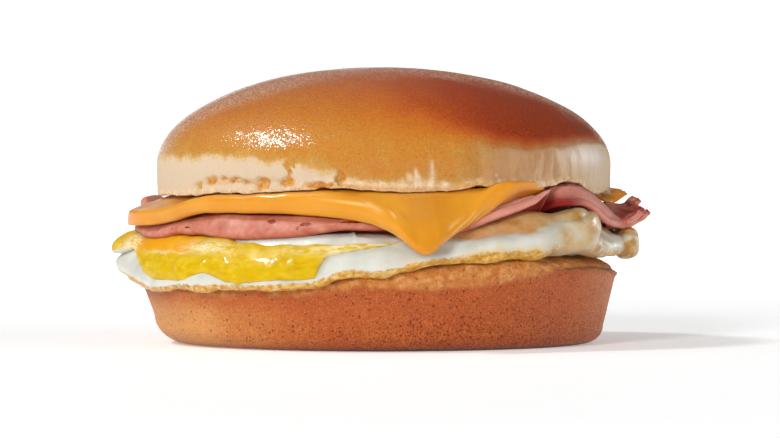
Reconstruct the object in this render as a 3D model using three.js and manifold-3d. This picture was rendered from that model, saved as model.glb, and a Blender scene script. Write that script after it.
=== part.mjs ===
// Breakfast sandwich: a toasted bun with a fried egg, two ham slices and a melted cheese slice.
// Millimetres, +Z up. The origin is the centre of the flat underside, and the front is -Y.
// Bearings are degrees counterclockwise from +X, seen from above, so the front is at 270.

import * as THREE from 'three';
import { mergeVertices } from 'three/addons/utils/BufferGeometryUtils.js';
import Module from 'manifold-3d';

// Driving sizes of the bun
const CROWN_RADIUS = 51;
const CROWN_TOP = 61.7;
const CROWN_WIDEST_HEIGHT = 40;
const CROWN_CUT_HEIGHT = 33.9;
const CROWN_CUT_FLAT_RADIUS = 28;
const CROWN_LIP_ROUND = 0.9;
const FLAP_MIDDLE_Y = -8.5;
const FLAP_THICKNESS = 1.1;
const HEEL_FOOT_RADIUS = 45.4;
const HEEL_WALL_RADIUS = 50.1;
const HEEL_CORNER_HEIGHT = 4;
const HEEL_CUT_HEIGHT = 19.6;
const HEEL_CENTRE_X = -0.5;

// Driving sizes of the fillings: thickness, and height of the middle surface where it lies flat
const EGG_THICKNESS = 4.0;
const EGG_RIM_THINNING = 0.4;
const EGG_HEIGHT = 22.1;
const EGG_SHOULDER_RADIUS = 45.5;
const EGG_SWELL_RADIUS = 48.5;
const EGG_SWELL_HALF_WIDTH = 7;
const HAM_THICKNESS = 2.2;
const HAM_TORN_THICKNESS = 1.3;
const LOWER_HAM_HEIGHT = 25.7;
const LOWER_HAM_FOLD_HALF_WIDTHS = [9, 7.5];
const UPPER_HAM_HEIGHT = 28.35;
const CHEESE_THICKNESS = 3.6;
const CHEESE_HEIGHT = 31.7;
const SLICE_SHOULDER_RADIUS = 44;
const YOLK_DEPTH = 1.5;
const YOLK_BULGE = 0.5;
const YOLK_PRESSED_DOWN = 0.6;
const YOLK_EDGE_THICKNESS = 0.5;
const YOLK_BLISTER = { bearing: 185, halfWidth: 8, rise: 2 };
const CLEARANCE = 0.3;

// Folds of egg white at the right: bearing, radius, height and half sizes outward, along the rim, upward
const EGG_LUMP = { bearing: 323, radius: 51, height: 25.4, half: [5, 8.2, 4.9] };
const EGG_KNOB = { bearing: 352, radius: 54.6, height: 22.3, half: [2.9, 4.6, 3.4] };

// Torn end of the lower ham slice: its run along X, its middle in Y, half width and height, from
// where it leaves the slice to its tip
const HAM_CURL = { x: [49.5, 58.6], y: -5.5, halfWidth: [5.5, 7], height: [26.2, 27.8], lift: [2.6, 3.6] };

// Bearing in degrees: millimetres. Each table is read round the sandwich as one smooth closed curve.
const CROWN_LIP_HEIGHT = {
  0: 34.1, 60: 33.8, 120: 33.8, 180: 33.2, 205: 33.2, 235: 33.8, 257: 34.7, 270: 34.4, 286: 34.2,
  295: 35.5, 314: 35.5, 326: 36.9, 333: 35.9, 340: 34.5,
};
const HEEL_RIM_HEIGHT = {
  0: 15.7, 45: 16.0, 100: 14.5, 150: 15.0, 180: 13.6, 205: 12.3, 245: 12.4, 270: 14.0, 290: 15.0,
  310: 16.6, 325: 17.3,
};
const HEEL_FLAT_RADIUS = { 0: 43.5, 180: 42, 205: 39, 245: 39, 270: 42, 300: 43.5 };
const HEEL_SHOULDER_RISE = { 0: 0.7, 60: 0, 270: 0, 300: 0.9, 325: 1.3, 345: 1.2 };
const EGG_REACH = {
  0: 53.8, 15: 53.0, 45: 54.2, 75: 55.4, 100: 55.2, 130: 53.6, 155: 55.2, 180: 58.4, 186: 58.3,
  193: 57.0, 202: 56.0, 212: 55.6, 240: 55.4, 254: 54.8, 262: 54.2, 280: 53.6, 305: 52.6, 318: 51.6,
  332: 52.2, 346: 53.6,
};
const EGG_RIM_HEIGHT = {
  0: 21.9, 45: 20.6, 75: 18.4, 100: 17.8, 130: 19.4, 155: 20.6, 180: 19.4, 187: 18.5, 196: 16.6,
  205: 14.7, 214: 13.9, 222: 14.6, 240: 14.7, 254: 15.4, 261: 17.6, 272: 18.6, 281: 20.2, 290: 21.7,
  305: 22.6, 320: 22.9, 345: 22.2,
};
const EGG_SWELL = { 0: 0.2, 60: 0, 285: 0, 300: 1.0, 312: 3.3, 322: 5.6, 331: 4.6, 341: 1.2 };
const LOWER_HAM_REACH = {
  0: 54.0, 10: 51.4, 30: 49.4, 60: 51.0, 90: 52.0, 120: 51.0, 150: 48.0, 175: 43.8, 270: 43.8,
  292: 40.0, 313: 38.5, 317: 44.0, 321: 51.4, 326: 53.2, 340: 54.0, 352: 54.2,
};
const LOWER_HAM_RIM_HEIGHT = {
  0: 26.8, 10: 26.2, 30: 25.8, 60: 25.3, 90: 24.9, 120: 25.2, 150: 25.8, 175: 25.7, 312: 25.7,
  317: 28.6, 321: 31.4, 327: 31.6, 334: 29.4, 341: 27.6, 348: 26.6,
};
const LOWER_HAM_FOLD_RISE = { 0: 0, 312: 0, 324: 6.4, 333: 6.2, 339: 5.0, 346: 2.6, 354: 0 };
const LOWER_HAM_FOLD_RADIUS = { 0: 51, 180: 48, 318: 48, 326: 48.6, 334: 49.8, 341: 50.6, 350: 51.4 };
const UPPER_HAM_REACH = {
  0: 43.5, 30: 46.5, 60: 49.0, 100: 50.6, 130: 50.0, 148: 51.2, 160: 54.0, 168: 55.2, 176: 53.8,
  185: 54.8, 194: 53.6, 205: 52.4, 214: 51.6, 257: 51.4, 270: 51.0, 280: 50.4, 288: 50.9, 295: 51.2,
  306: 50.4, 311: 49.6, 315: 47.6, 318: 43.6, 321: 39.5, 344: 39.5,
};
const UPPER_HAM_RIM_HEIGHT = {
  0: 28.3, 30: 28.1, 60: 27.8, 100: 27.5, 130: 28.0, 148: 28.6, 157: 30.4, 163: 32.0, 169: 31.6,
  174: 28.8, 180: 26.0, 187: 25.6, 195: 25.0, 205: 25.2, 214: 25.9, 222: 25.3, 232: 24.8, 246: 25.1,
  257: 26.2, 271: 26.4, 280: 25.0, 286: 24.8, 291: 25.9, 297: 27.6, 302: 28.9, 308: 30.4, 312: 31.7,
  315: 32.4, 318: 31.0, 322: 28.4, 344: 28.3,
};
const CHEESE_REACH = {
  5: 47.6, 20: 46.4, 45: 43.6, 70: 46.6, 88: 51.4, 97: 54.0, 106: 51.8, 125: 46.6, 150: 43.6,
  168: 44.2, 177: 48.6, 183: 53.4, 188: 55.9, 194: 54.9, 205: 51.8, 216: 49.4, 235: 48.2, 250: 48.6,
  258: 49.8, 264: 51.8, 270: 54.8, 275: 57.8, 280: 59.8, 283: 58.4, 287: 55.0, 297: 50.0, 305: 47.8,
  312: 45.6, 322: 38.6, 342: 38.6,
};
const CHEESE_RIM_HEIGHT = {
  5: 31.6, 45: 31.6, 75: 31.4, 97: 29.4, 120: 31.4, 150: 31.6, 175: 31.4, 180: 30.6, 184: 29.4,
  188: 28.6, 197: 29.2, 208: 30.4, 222: 31.4, 245: 31.6, 258: 30.8, 266: 29.6, 270: 28.4, 274: 25.4,
  277: 22.7, 280: 21.8, 282: 22.6, 285: 25.6, 289: 28.6, 293: 30.5, 297: 31.7, 305: 33.0, 312: 33.2,
  322: 32.0, 342: 31.6,
};
const YOLK_EDGE_HEIGHT = {
  90: 21, 178: 20.6, 190: 20.2, 200: 19.6, 206: 18.2, 212: 15.6, 220: 15.6, 227: 17.0, 237: 14.8,
  246: 15.4, 255: 15.6, 261: 20.2, 268: 22.4,
};

// Fineness of the faces
const BUN_SEGMENTS = 64;
const EGG_SEGMENTS = 72;
const HAM_SEGMENTS = 64;
const CHEESE_SEGMENTS = 72;
const RIM_STEPS = 3;

const wasm = await Module();
wasm.setup();

const radians = THREE.MathUtils.degToRad;
const mix = THREE.MathUtils.lerp;
const smooth = THREE.MathUtils.smoothstep;
const clamp = THREE.MathUtils.clamp;

// A smooth closed curve through a table of values by bearing, which never overshoots its values
function around(table) {
  const keys = Object.keys(table).map(Number).sort((p, q) => p - q);
  const count = keys.length;
  const wrapped = (i) => ((i % count) + count) % count;
  const key = (i) => keys[wrapped(i)] + 360 * Math.floor(i / count);
  const value = (i) => table[keys[wrapped(i)]];
  const slope = (i) => {
    const before = (value(i) - value(i - 1)) / (key(i) - key(i - 1));
    const after = (value(i + 1) - value(i)) / (key(i + 1) - key(i));
    return before * after > 0 ? (2 * before * after) / (before + after) : 0;
  };
  return (bearing) => {
    const turned = keys[0] + ((((bearing - keys[0]) % 360) + 360) % 360);
    let i = count - 1;
    while (i > 0 && key(i) > turned) i -= 1;
    const span = key(i + 1) - key(i);
    const u = (turned - key(i)) / span;
    const rise = value(i + 1) - value(i);
    const lead = slope(i) * span;
    const tail = slope(i + 1) * span;
    return value(i) + u * (lead + u * (3 * rise - 2 * lead - tail + u * (lead + tail - 2 * rise)));
  };
}

// Uneven edge of soft food: a few waves of whole numbers round the sandwich, from -1 to 1
function waver(bearing, counts, phase) {
  let sum = 0;
  counts.forEach((count, k) => {
    sum += Math.sin(radians(bearing * count) + phase * (k + 1));
  });
  return sum / counts.length;
}

// Solid whose outline changes round the axis. profileAt(bearing) lists [radius, height] points from
// the top of the axis, out over the rim and back to the foot of the axis.
function turned(segments, profileAt, centreX = 0) {
  const profiles = [];
  for (let i = 0; i < segments; i += 1) profiles.push(profileAt((360 * i) / segments));
  const rings = profiles[0].length - 2;
  const positions = [centreX, 0, profiles[0][0][1]];
  for (let j = 1; j <= rings; j += 1) {
    for (let i = 0; i < segments; i += 1) {
      const [radius, height] = profiles[i][j];
      const angle = radians((360 * i) / segments);
      positions.push(centreX + radius * Math.cos(angle), radius * Math.sin(angle), height);
    }
  }
  positions.push(centreX, 0, profiles[0][rings + 1][1]);
  const last = positions.length / 3 - 1;
  const at = (j, i) => 1 + j * segments + (i % segments);
  const faces = [];
  for (let i = 0; i < segments; i += 1) {
    faces.push(0, at(0, i), at(0, i + 1));
    faces.push(last, at(rings - 1, i + 1), at(rings - 1, i));
    for (let j = 0; j < rings - 1; j += 1) {
      faces.push(at(j, i), at(j + 1, i), at(j + 1, i + 1));
      faces.push(at(j, i), at(j + 1, i + 1), at(j, i + 1));
    }
  }
  return indexed(positions, faces);
}

// Curved patch of food with its own thickness at each place. middleAt(u, v) gives the middle surface.
function patch(columns, rows, middleAt, thicknessAt) {
  const positions = [];
  const step = 1e-3;
  for (const side of [0.5, -0.5]) {
    for (let j = 0; j <= rows; j += 1) {
      for (let i = 0; i <= columns; i += 1) {
        const [u, v] = [i / columns, j / rows];
        const point = middleAt(u, v);
        const along = middleAt(u + step, v).sub(middleAt(u - step, v));
        const across = middleAt(u, v + step).sub(middleAt(u, v - step));
        const normal = along.cross(across).normalize();
        point.addScaledVector(normal, side * thicknessAt(u, v));
        positions.push(point.x, point.y, point.z);
      }
    }
  }
  const wide = columns + 1;
  const under = wide * (rows + 1);
  const at = (i, j) => j * wide + i;
  const faces = [];
  for (let j = 0; j < rows; j += 1) {
    for (let i = 0; i < columns; i += 1) {
      const [a, b, c, d] = [at(i, j), at(i + 1, j), at(i + 1, j + 1), at(i, j + 1)];
      faces.push(a, b, c, a, c, d);
      faces.push(under + a, under + c, under + b, under + a, under + d, under + c);
    }
  }
  const border = [];
  for (let i = 0; i < columns; i += 1) border.push(at(i, 0));
  for (let j = 0; j < rows; j += 1) border.push(at(columns, j));
  for (let i = columns; i > 0; i -= 1) border.push(at(i, rows));
  for (let j = rows; j > 0; j -= 1) border.push(at(0, j));
  border.forEach((a, k) => {
    const b = border[(k + 1) % border.length];
    faces.push(a, under + a, under + b, a, under + b, b);
  });
  return indexed(positions, faces);
}

function indexed(positions, faces) {
  const geometry = new THREE.BufferGeometry();
  geometry.setAttribute('position', new THREE.Float32BufferAttribute(positions, 3));
  geometry.setIndex(faces);
  return geometry;
}

function solid(geometry) {
  const bare = geometry.clone();
  bare.deleteAttribute('normal');
  bare.deleteAttribute('uv');
  const merged = mergeVertices(bare, 1e-4);
  return new wasm.Manifold(new wasm.Mesh({
    numProp: 3,
    vertProperties: new Float32Array(merged.getAttribute('position').array),
    triVerts: new Uint32Array(merged.getIndex().array),
  }));
}

// A soft piece takes the shape of what it lies on: each neighbour is cut from it with some clearance,
// and the one body that is left is kept
function restingOn(body, neighbours) {
  const pressed = neighbours.reduce((rest, makeBody) => rest.subtract(makeBody(CLEARANCE)), body);
  const pieces = pressed.decompose().sort((p, q) => q.volume() - p.volume());
  const mesh = pieces[0].getMesh();
  return indexed(Array.from(mesh.vertProperties), Array.from(mesh.triVerts));
}

// Section of a slice from the axis out to its rim: the middle curve, thickened square to itself and
// closed by a round edge. middle(t) gives [radius, height] for t from 0 at the axis to 1 at the rim.
function sliceProfile(middle, thickness, stations) {
  const step = 1e-3;
  const frames = stations.map((t) => {
    const [radius, height] = middle(t);
    const [nextRadius, nextHeight] = middle(t + step);
    const [lastRadius, lastHeight] = middle(Math.max(0, t - step));
    const run = Math.hypot(nextRadius - lastRadius, nextHeight - lastHeight);
    const tangent = [(nextRadius - lastRadius) / run, (nextHeight - lastHeight) / run];
    return { radius, height, tangent, half: thickness(t) / 2 };
  });
  const offset = (frame, angle) => {
    const [alongRadius, alongHeight] = frame.tangent;
    const [out, up] = [frame.half * Math.sin(angle), frame.half * Math.cos(angle)];
    return [
      Math.max(0, frame.radius + out * alongRadius - up * alongHeight),
      frame.height + out * alongHeight + up * alongRadius,
    ];
  };
  const last = frames.length - 1;
  const top = frames.map((frame) => offset(frame, 0));
  const under = frames.filter((frame, k) => k === 0 || k >= last - 1 || k % 2 === 1);
  const bottom = under.map((frame) => offset(frame, Math.PI)).reverse();
  const rim = [];
  for (let k = 1; k < RIM_STEPS; k += 1) rim.push(offset(frames[last], (Math.PI * k) / RIM_STEPS));
  return [...top, ...rim, ...bottom];
}

// Middle curve that is flat out to a shoulder and then bends to the rim's own height
function drapedMiddle(flatHeight, shoulder, reach, rimHeight) {
  return (t) => {
    const radius = reach * t;
    const bend = Math.max(0, radius - shoulder) / (reach - shoulder);
    return [radius, mix(flatHeight, rimHeight, bend * bend)];
  };
}

// Bottom half of the bun: flat foot, rounded corner, wall that widens upward, pressed soft shoulder
function heelBody(grow) {
  const rimHeight = around(HEEL_RIM_HEIGHT);
  const flatRadius = around(HEEL_FLAT_RADIUS);
  const shoulderRise = around(HEEL_SHOULDER_RISE);
  const cornerSteps = 3;
  const shoulderSteps = 4;
  return solid(turned(BUN_SEGMENTS, (bearing) => {
    const lean = 0.3 - 0.06 * Math.cos(radians(bearing));
    const uneven = 0.25 * waver(bearing, [3, 5, 9], 1.7);
    const wallTop = rimHeight(bearing);
    const wallAt = (height) => HEEL_WALL_RADIUS + uneven + lean * (height - HEEL_CORNER_HEIGHT);
    const shoulderTop = HEEL_CUT_HEIGHT + shoulderRise(bearing);
    const wallMiddle = mix(HEEL_CORNER_HEIGHT, wallTop, 0.5);
    const cutTop = HEEL_CUT_HEIGHT + grow;
    const points = [[0, cutTop], [flatRadius(bearing) * 0.9, cutTop]];
    for (let k = 0; k <= shoulderSteps; k += 1) {
      const angle = (Math.PI / 2) * (k / shoulderSteps);
      points.push([
        mix(flatRadius(bearing), wallAt(wallTop), Math.sin(angle) ** 0.9) + grow * Math.sin(angle),
        mix(wallTop, shoulderTop, Math.cos(angle) ** 0.9) + grow * Math.cos(angle),
      ]);
    }
    points.push([wallAt(wallMiddle) + grow, wallMiddle]);
    for (let k = 0; k <= cornerSteps; k += 1) {
      const angle = (Math.PI / 2) * (k / cornerSteps);
      points.push([
        mix(HEEL_FOOT_RADIUS, wallAt(HEEL_CORNER_HEIGHT), Math.cos(angle)) + grow,
        HEEL_CORNER_HEIGHT * (1 - Math.sin(angle)),
      ]);
    }
    points.push([0, 0]);
    return points;
  }, HEEL_CENTRE_X));
}

// Top half of the bun: a low dome over a pale side that tucks in to a soft, uneven cut edge
function crownBody() {
  const lipHeight = around(CROWN_LIP_HEIGHT);
  const domeSteps = 8;
  const dome = turned(BUN_SEGMENTS, (bearing) => {
    const side = CROWN_RADIUS + 0.3 * waver(bearing, [2, 5, 7], 0.6);
    const lip = lipHeight(bearing) + 0.15 * waver(bearing, [11, 17], 2.2);
    const points = [];
    for (let k = 0; k <= domeSteps; k += 1) {
      const angle = (Math.PI / 2) * (k / domeSteps) ** 0.92;
      points.push([side * Math.sin(angle), mix(CROWN_WIDEST_HEIGHT, CROWN_TOP, Math.cos(angle))]);
    }
    points.push([side - 0.35, mix(lip, CROWN_WIDEST_HEIGHT, 0.45)]);
    points.push([side - CROWN_LIP_ROUND, lip + CROWN_LIP_ROUND]);
    points.push([side - 1.7 * CROWN_LIP_ROUND, lip + 0.3 * CROWN_LIP_ROUND]);
    points.push([side - 3 * CROWN_LIP_ROUND, lip]);
    points.push([mix(CROWN_CUT_FLAT_RADIUS, side, 0.7), mix(CROWN_CUT_HEIGHT, lip, 0.8)]);
    points.push([CROWN_CUT_FLAT_RADIUS, CROWN_CUT_HEIGHT]);
    points.push([0, CROWN_CUT_HEIGHT]);
    return points;
  });
  return solid(dome).add(solid(tornFlap()));
}

// Toasted scrap of crust that stands off the crown's edge at the right and narrows to a point
function tornFlap() {
  const [root, tip] = [46.5, 54.2];
  const [rootHalfWidth, tipHalfWidth] = [4.2, 0.7];
  const [rootHeight, tipHeight] = [34.9, 32.6];
  return patch(5, 4, (u, v) => new THREE.Vector3(
    mix(root, tip, u) + 0.5 * Math.sin(9 * v),
    FLAP_MIDDLE_Y + mix(rootHalfWidth, tipHalfWidth, u) * (2 * v - 1) + 0.4 * Math.sin(8 * u),
    mix(rootHeight, tipHeight, u) + 0.35 * Math.sin(7 * u + 4 * v),
  ), () => FLAP_THICKNESS);
}

// Middle curve of the egg at a bearing, and the top of its plain thickness, which the yolk lies in
function eggMiddle(bearing) {
  const frill = waver(bearing, [13, 19, 29], 0.9);
  const reach = around(EGG_REACH)(bearing) + 0.35 * frill;
  const rimHeight = around(EGG_RIM_HEIGHT)(bearing) + 0.45 * waver(bearing, [11, 17, 23], 3.1);
  const plain = drapedMiddle(EGG_HEIGHT, EGG_SHOULDER_RADIUS, reach, rimHeight);
  return (t) => {
    const [radius, height] = plain(t);
    return [radius, height + eggSwell(bearing, radius) / 2];
  };
}

// Extra thickness where the white is folded up under the ham's arch
function eggSwell(bearing, radius) {
  const away = clamp((radius - EGG_SWELL_RADIUS) / EGG_SWELL_HALF_WIDTH, -1, 1);
  return around(EGG_SWELL)(bearing) * Math.cos((away * Math.PI) / 2) ** 2;
}

function eggThickness(bearing, t) {
  const swell = eggSwell(bearing, eggMiddle(bearing)(t)[0]);
  return EGG_THICKNESS + swell - EGG_RIM_THINNING * smooth(t, 0.86, 1);
}

function eggTop(bearing, t) {
  const middle = eggMiddle(bearing);
  const step = 1e-3;
  const [radius, height] = middle(t);
  const [nextRadius, nextHeight] = middle(t + step);
  const angle = Math.atan2(nextHeight - height, nextRadius - radius);
  const half = eggThickness(bearing, t) / 2;
  return [radius - half * Math.sin(angle), height + half * Math.cos(angle)];
}

// The place on the egg's top where it has come down to a height, as a share of the way to the rim
function stationAtHeight(bearing, height) {
  let [inner, outer] = [0.8, 1];
  for (let k = 0; k < 16; k += 1) {
    const middle = (inner + outer) / 2;
    if (eggTop(bearing, middle)[1] > height) inner = middle;
    else outer = middle;
  }
  return inner;
}

// Broken yolk: a runny pool let into the egg, from under the ham down over its front left side
function yolkBody(grow) {
  const [firstBearing, lastBearing] = [176 - 1.5 * grow, 272 + 1.5 * grow];
  const edgeHeight = around(YOLK_EDGE_HEIGHT);
  const innerStation = 0.5 - 0.02 * grow;
  const columns = 24;
  const rows = 6;
  const closingAt = (share) => Math.sqrt(Math.max(0, 1 - (2 * share - 1) ** 6));
  const place = (u, v) => {
    const bearing = mix(firstBearing, lastBearing, u);
    const outer = stationAtHeight(bearing, edgeHeight(bearing) - 1.5 * grow);
    const closing = closingAt(u);
    const middle = mix(innerStation, outer, 0.55);
    const from = mix(middle, innerStation, closing) - 0.01 * grow;
    const to = mix(middle, outer, 0.35 + 0.65 * closing) + 0.01 * grow;
    return { bearing, t: mix(from, to, clamp(v, 0, 1) ** 0.7) };
  };
  return solid(patch(columns, rows, (u, v) => {
    const { bearing, t } = place(u, v);
    const [radius, height] = eggTop(bearing, t);
    const pressed = YOLK_PRESSED_DOWN * (1 - smooth(t, 0.84, 0.93));
    const sink = (YOLK_BULGE - YOLK_DEPTH) / 2 - pressed;
    const away = (bearing - YOLK_BLISTER.bearing) / YOLK_BLISTER.halfWidth;
    const blister = YOLK_BLISTER.rise * Math.exp(-(away ** 2)) * smooth(t, 0.84, 0.97);
    const out = radius + 0.4 * sink + blister;
    const angle = radians(bearing);
    return new THREE.Vector3(out * Math.cos(angle), out * Math.sin(angle), height + 0.8 * sink + blister);
  }, (u, v) => {
    const round = Math.sqrt(Math.max(0, 1 - (2 * v - 1) ** 4)) * closingAt(u);
    return mix(YOLK_EDGE_THICKNESS, YOLK_DEPTH + YOLK_BULGE, round) + 2 * grow;
  }));
}

// Rounded fold of egg white that stands up from the rim
function eggLobe({ bearing, radius, height, half }, grow) {
  const lobe = new THREE.SphereGeometry(1, 14, 9);
  lobe.rotateX(Math.PI / 2);
  lobe.scale(...half.map((size) => size + grow));
  lobe.translate(radius, 0, height);
  lobe.rotateZ(radians(bearing));
  return solid(lobe);
}

function eggBody(grow) {
  const stations = [0, 0.76, 0.84, 0.89, 0.93, 0.965, 1];
  const disc = turned(EGG_SEGMENTS, (bearing) => (
    sliceProfile(eggMiddle(bearing), (t) => eggThickness(bearing, t) + 2 * grow, stations)
  ));
  return solid(disc).add(eggLobe(EGG_LUMP, grow)).add(eggLobe(EGG_KNOB, grow));
}

// Middle curve of the lower ham slice, which arches up over the folded egg at the right
function lowerHamMiddle(bearing) {
  const reach = around(LOWER_HAM_REACH)(bearing) + 0.3 * waver(bearing, [7, 13], 1.1);
  const rimHeight = around(LOWER_HAM_RIM_HEIGHT)(bearing);
  const rise = around(LOWER_HAM_FOLD_RISE)(bearing);
  const foldRadius = around(LOWER_HAM_FOLD_RADIUS)(bearing);
  const shoulder = Math.min(SLICE_SHOULDER_RADIUS, 0.9 * reach);
  const plain = drapedMiddle(LOWER_HAM_HEIGHT, shoulder, reach, rimHeight);
  return (t) => {
    const [radius, height] = plain(t);
    const halfWidth = LOWER_HAM_FOLD_HALF_WIDTHS[radius < foldRadius ? 0 : 1];
    const away = clamp((radius - foldRadius) / halfWidth, -1, 1);
    return [radius, height + rise * Math.cos((away * Math.PI) / 2) ** 2];
  };
}

// The torn end curls up on both sides into a trough, higher at the back, with a ragged tip
function hamCurl(grow) {
  const backRise = 1.4;
  return patch(6, 6, (u, v) => {
    const across = 2 * v - 1;
    const ragged = 0.8 * Math.sin(13 * v) * u ** 3;
    const lift = mix(...HAM_CURL.lift, u) * across ** 2 + backRise * Math.max(0, across);
    return new THREE.Vector3(
      mix(...HAM_CURL.x, u) + ragged - 1.6 * across ** 2 * u,
      HAM_CURL.y + mix(...HAM_CURL.halfWidth, u) * across,
      mix(...HAM_CURL.height, u * u) + lift,
    );
  }, (u) => mix(HAM_THICKNESS, HAM_TORN_THICKNESS, u) + 2 * grow);
}

function lowerHamBody(grow) {
  const stations = [0, 0.76, 0.84, 0.89, 0.93, 0.965, 1];
  const slice = turned(HAM_SEGMENTS, (bearing) => (
    sliceProfile(lowerHamMiddle(bearing), () => HAM_THICKNESS + 2 * grow, stations)
  ));
  return solid(slice).add(solid(hamCurl(grow)));
}

// The upper ham slice hangs over the egg at the front left
function upperHamBody(grow) {
  const stations = [0, 0.8, 0.87, 0.93, 1];
  return solid(turned(HAM_SEGMENTS, (bearing) => {
    const reach = around(UPPER_HAM_REACH)(bearing) + 0.25 * waver(bearing, [9, 15], 2.7);
    const rimHeight = around(UPPER_HAM_RIM_HEIGHT)(bearing) + 0.2 * waver(bearing, [8, 21], 0.4);
    const middle = drapedMiddle(UPPER_HAM_HEIGHT, 0.85 * reach, reach, rimHeight);
    return sliceProfile(middle, () => HAM_THICKNESS + 2 * grow, stations);
  }));
}

// Melted cheese slice: one corner hangs down in front and one stands out at the left
function cheeseBody(grow) {
  const stations = [0, 0.72, 0.8, 0.87, 0.94, 1];
  return solid(turned(CHEESE_SEGMENTS, (bearing) => {
    const reach = around(CHEESE_REACH)(bearing);
    const rimHeight = around(CHEESE_RIM_HEIGHT)(bearing);
    const shoulder = Math.min(SLICE_SHOULDER_RADIUS, 0.86 * reach);
    const middle = drapedMiddle(CHEESE_HEIGHT, shoulder, reach, rimHeight);
    return sliceProfile(middle, () => CHEESE_THICKNESS + 2 * grow, stations);
  }));
}

function named(name, geometry, colour, roughness) {
  const material = new THREE.MeshStandardMaterial({ color: colour, roughness, metalness: 0 });
  const mesh = new THREE.Mesh(geometry, material);
  mesh.name = name;
  return mesh;
}

const sandwich = new THREE.Group();
const heel = restingOn(heelBody(0), []);
const eggWhite = restingOn(eggBody(0), [heelBody, yolkBody]);
const eggYolk = restingOn(yolkBody(0), []);
const lowerHam = restingOn(lowerHamBody(0), [eggBody, yolkBody]);
const upperHam = restingOn(upperHamBody(0), [eggBody, yolkBody, lowerHamBody]);
const cheese = restingOn(cheeseBody(0), [lowerHamBody, upperHamBody]);
const crown = restingOn(crownBody(), [lowerHamBody, upperHamBody, cheeseBody]);
sandwich.add(named('bun_heel', heel, 0xc8783c, 0.6));
sandwich.add(named('egg_white', eggWhite, 0xe6e6d8, 0.4));
sandwich.add(named('egg_yolk', eggYolk, 0xebb41e, 0.2));
sandwich.add(named('ham_slice_lower', lowerHam, 0xc07068, 0.45));
sandwich.add(named('ham_slice_upper', upperHam, 0xd48578, 0.45));
sandwich.add(named('cheese_slice', cheese, 0xf0a832, 0.35));
sandwich.add(named('bun_crown', crown, 0xc87c38, 0.35));

export default sandwich;
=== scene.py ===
"""Looks of the breakfast sandwich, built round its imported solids.

Sizes and tables are millimetres and degrees, meshes are metres. +Z is up and the front is -Y.
A bearing is counterclockwise from +X, seen from above, so the front is at 270.
"""
import math

import bpy
import numpy as np
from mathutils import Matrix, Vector


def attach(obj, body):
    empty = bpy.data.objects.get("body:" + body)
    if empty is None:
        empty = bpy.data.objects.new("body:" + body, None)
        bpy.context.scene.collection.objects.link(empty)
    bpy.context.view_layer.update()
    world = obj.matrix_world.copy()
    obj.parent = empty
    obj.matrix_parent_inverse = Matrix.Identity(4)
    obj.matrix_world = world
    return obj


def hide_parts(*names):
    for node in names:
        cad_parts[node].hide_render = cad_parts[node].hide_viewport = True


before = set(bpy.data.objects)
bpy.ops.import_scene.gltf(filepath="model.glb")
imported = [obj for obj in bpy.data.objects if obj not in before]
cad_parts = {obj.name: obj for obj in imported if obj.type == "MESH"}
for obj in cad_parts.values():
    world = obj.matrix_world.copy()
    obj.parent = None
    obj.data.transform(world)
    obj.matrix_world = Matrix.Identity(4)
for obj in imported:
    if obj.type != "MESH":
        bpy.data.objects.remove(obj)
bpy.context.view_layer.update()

MM = 0.001
SEED = 11

# Share of a curve by which it is followed to find its direction
STEP = 1e-3

# How fine the meshes are
BUN_SEGMENTS = 540
EGG_SEGMENTS = 720
LOWER_HAM_SEGMENTS = 640
UPPER_HAM_SEGMENTS = 900
CHEESE_SEGMENTS = 900
YOLK_COLUMNS = 400
YOLK_ROWS = 110
LIP_STEPS = 240

# Sizes of the bun
CROWN_RADIUS = 51
CROWN_TOP = 61.7
CROWN_WIDEST_HEIGHT = 40
CROWN_CUT_HEIGHT = 33.9
CROWN_CUT_FLAT_RADIUS = 28
CROWN_LIP_ROUND = 0.2
FLAP_MIDDLE_Y = -8.5
FLAP_THICKNESS = 1.1
HEEL_FOOT_RADIUS = 45.4
HEEL_WALL_RADIUS = 50.1
HEEL_CUT_HEIGHT = 19.6
HEEL_CENTRE_X = -0.5
HEEL_USUAL_CORNER = 4

# Sizes of the fillings
EGG_THICKNESS = 4.0
EGG_RIM_THINNING = 0.4
EGG_HEIGHT = 22.1
EGG_SWELL_RADIUS = 48.5
EGG_SWELL_HALF_WIDTHS = (5, 7)
EGG_LUMP = dict(bearing=324.8, radius=51.2, height=25.8, half=(4.7, 7.8, 5), power=0.92)
EGG_KNOB = dict(bearing=352, radius=54.7, height=22.4, half=(3.1, 4.8, 3.4), power=0.78)
HAM_THICKNESS = 2.2
HAM_TORN_THICKNESS = 1.3
LOWER_HAM_HEIGHT = 25.7
LOWER_HAM_FOLD_WIDTH = 9
UPPER_HAM_HEIGHT = 28.35
UPPER_HAM_FOLD_WIDTH = 4
HAM_CURL = dict(
    x=(49.5, 58.5), y=-5.5, half_width=(5.5, 7), height=(26.3, 29.2), near=(0.6, 0.3), far=(5.4, 3.7),
)
CHEESE_THICKNESS = 3.6
CHEESE_HEIGHT = 31.7
CHEESE_LIP_GAP = 0.02
CHEESE_TIP_BEARING = 279
CHEESE_LEFT = dict(bearing=190, width=15, lean=0.6, upright_at=29.2)
SLICE_SHOULDER_RADIUS = 44
YOLK_BEARINGS = (174, 276)
YOLK_DEPTH = 1.7
YOLK_BULGE = 0.9
YOLK_PRESSED_DOWN = 0.3
YOLK_EDGE_THICKNESS = 0.3
YOLK_TOP_HEIGHT = 23.3
YOLK_BLISTER = dict(bearing=181, half_width=8, rise=1.9)

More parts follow.
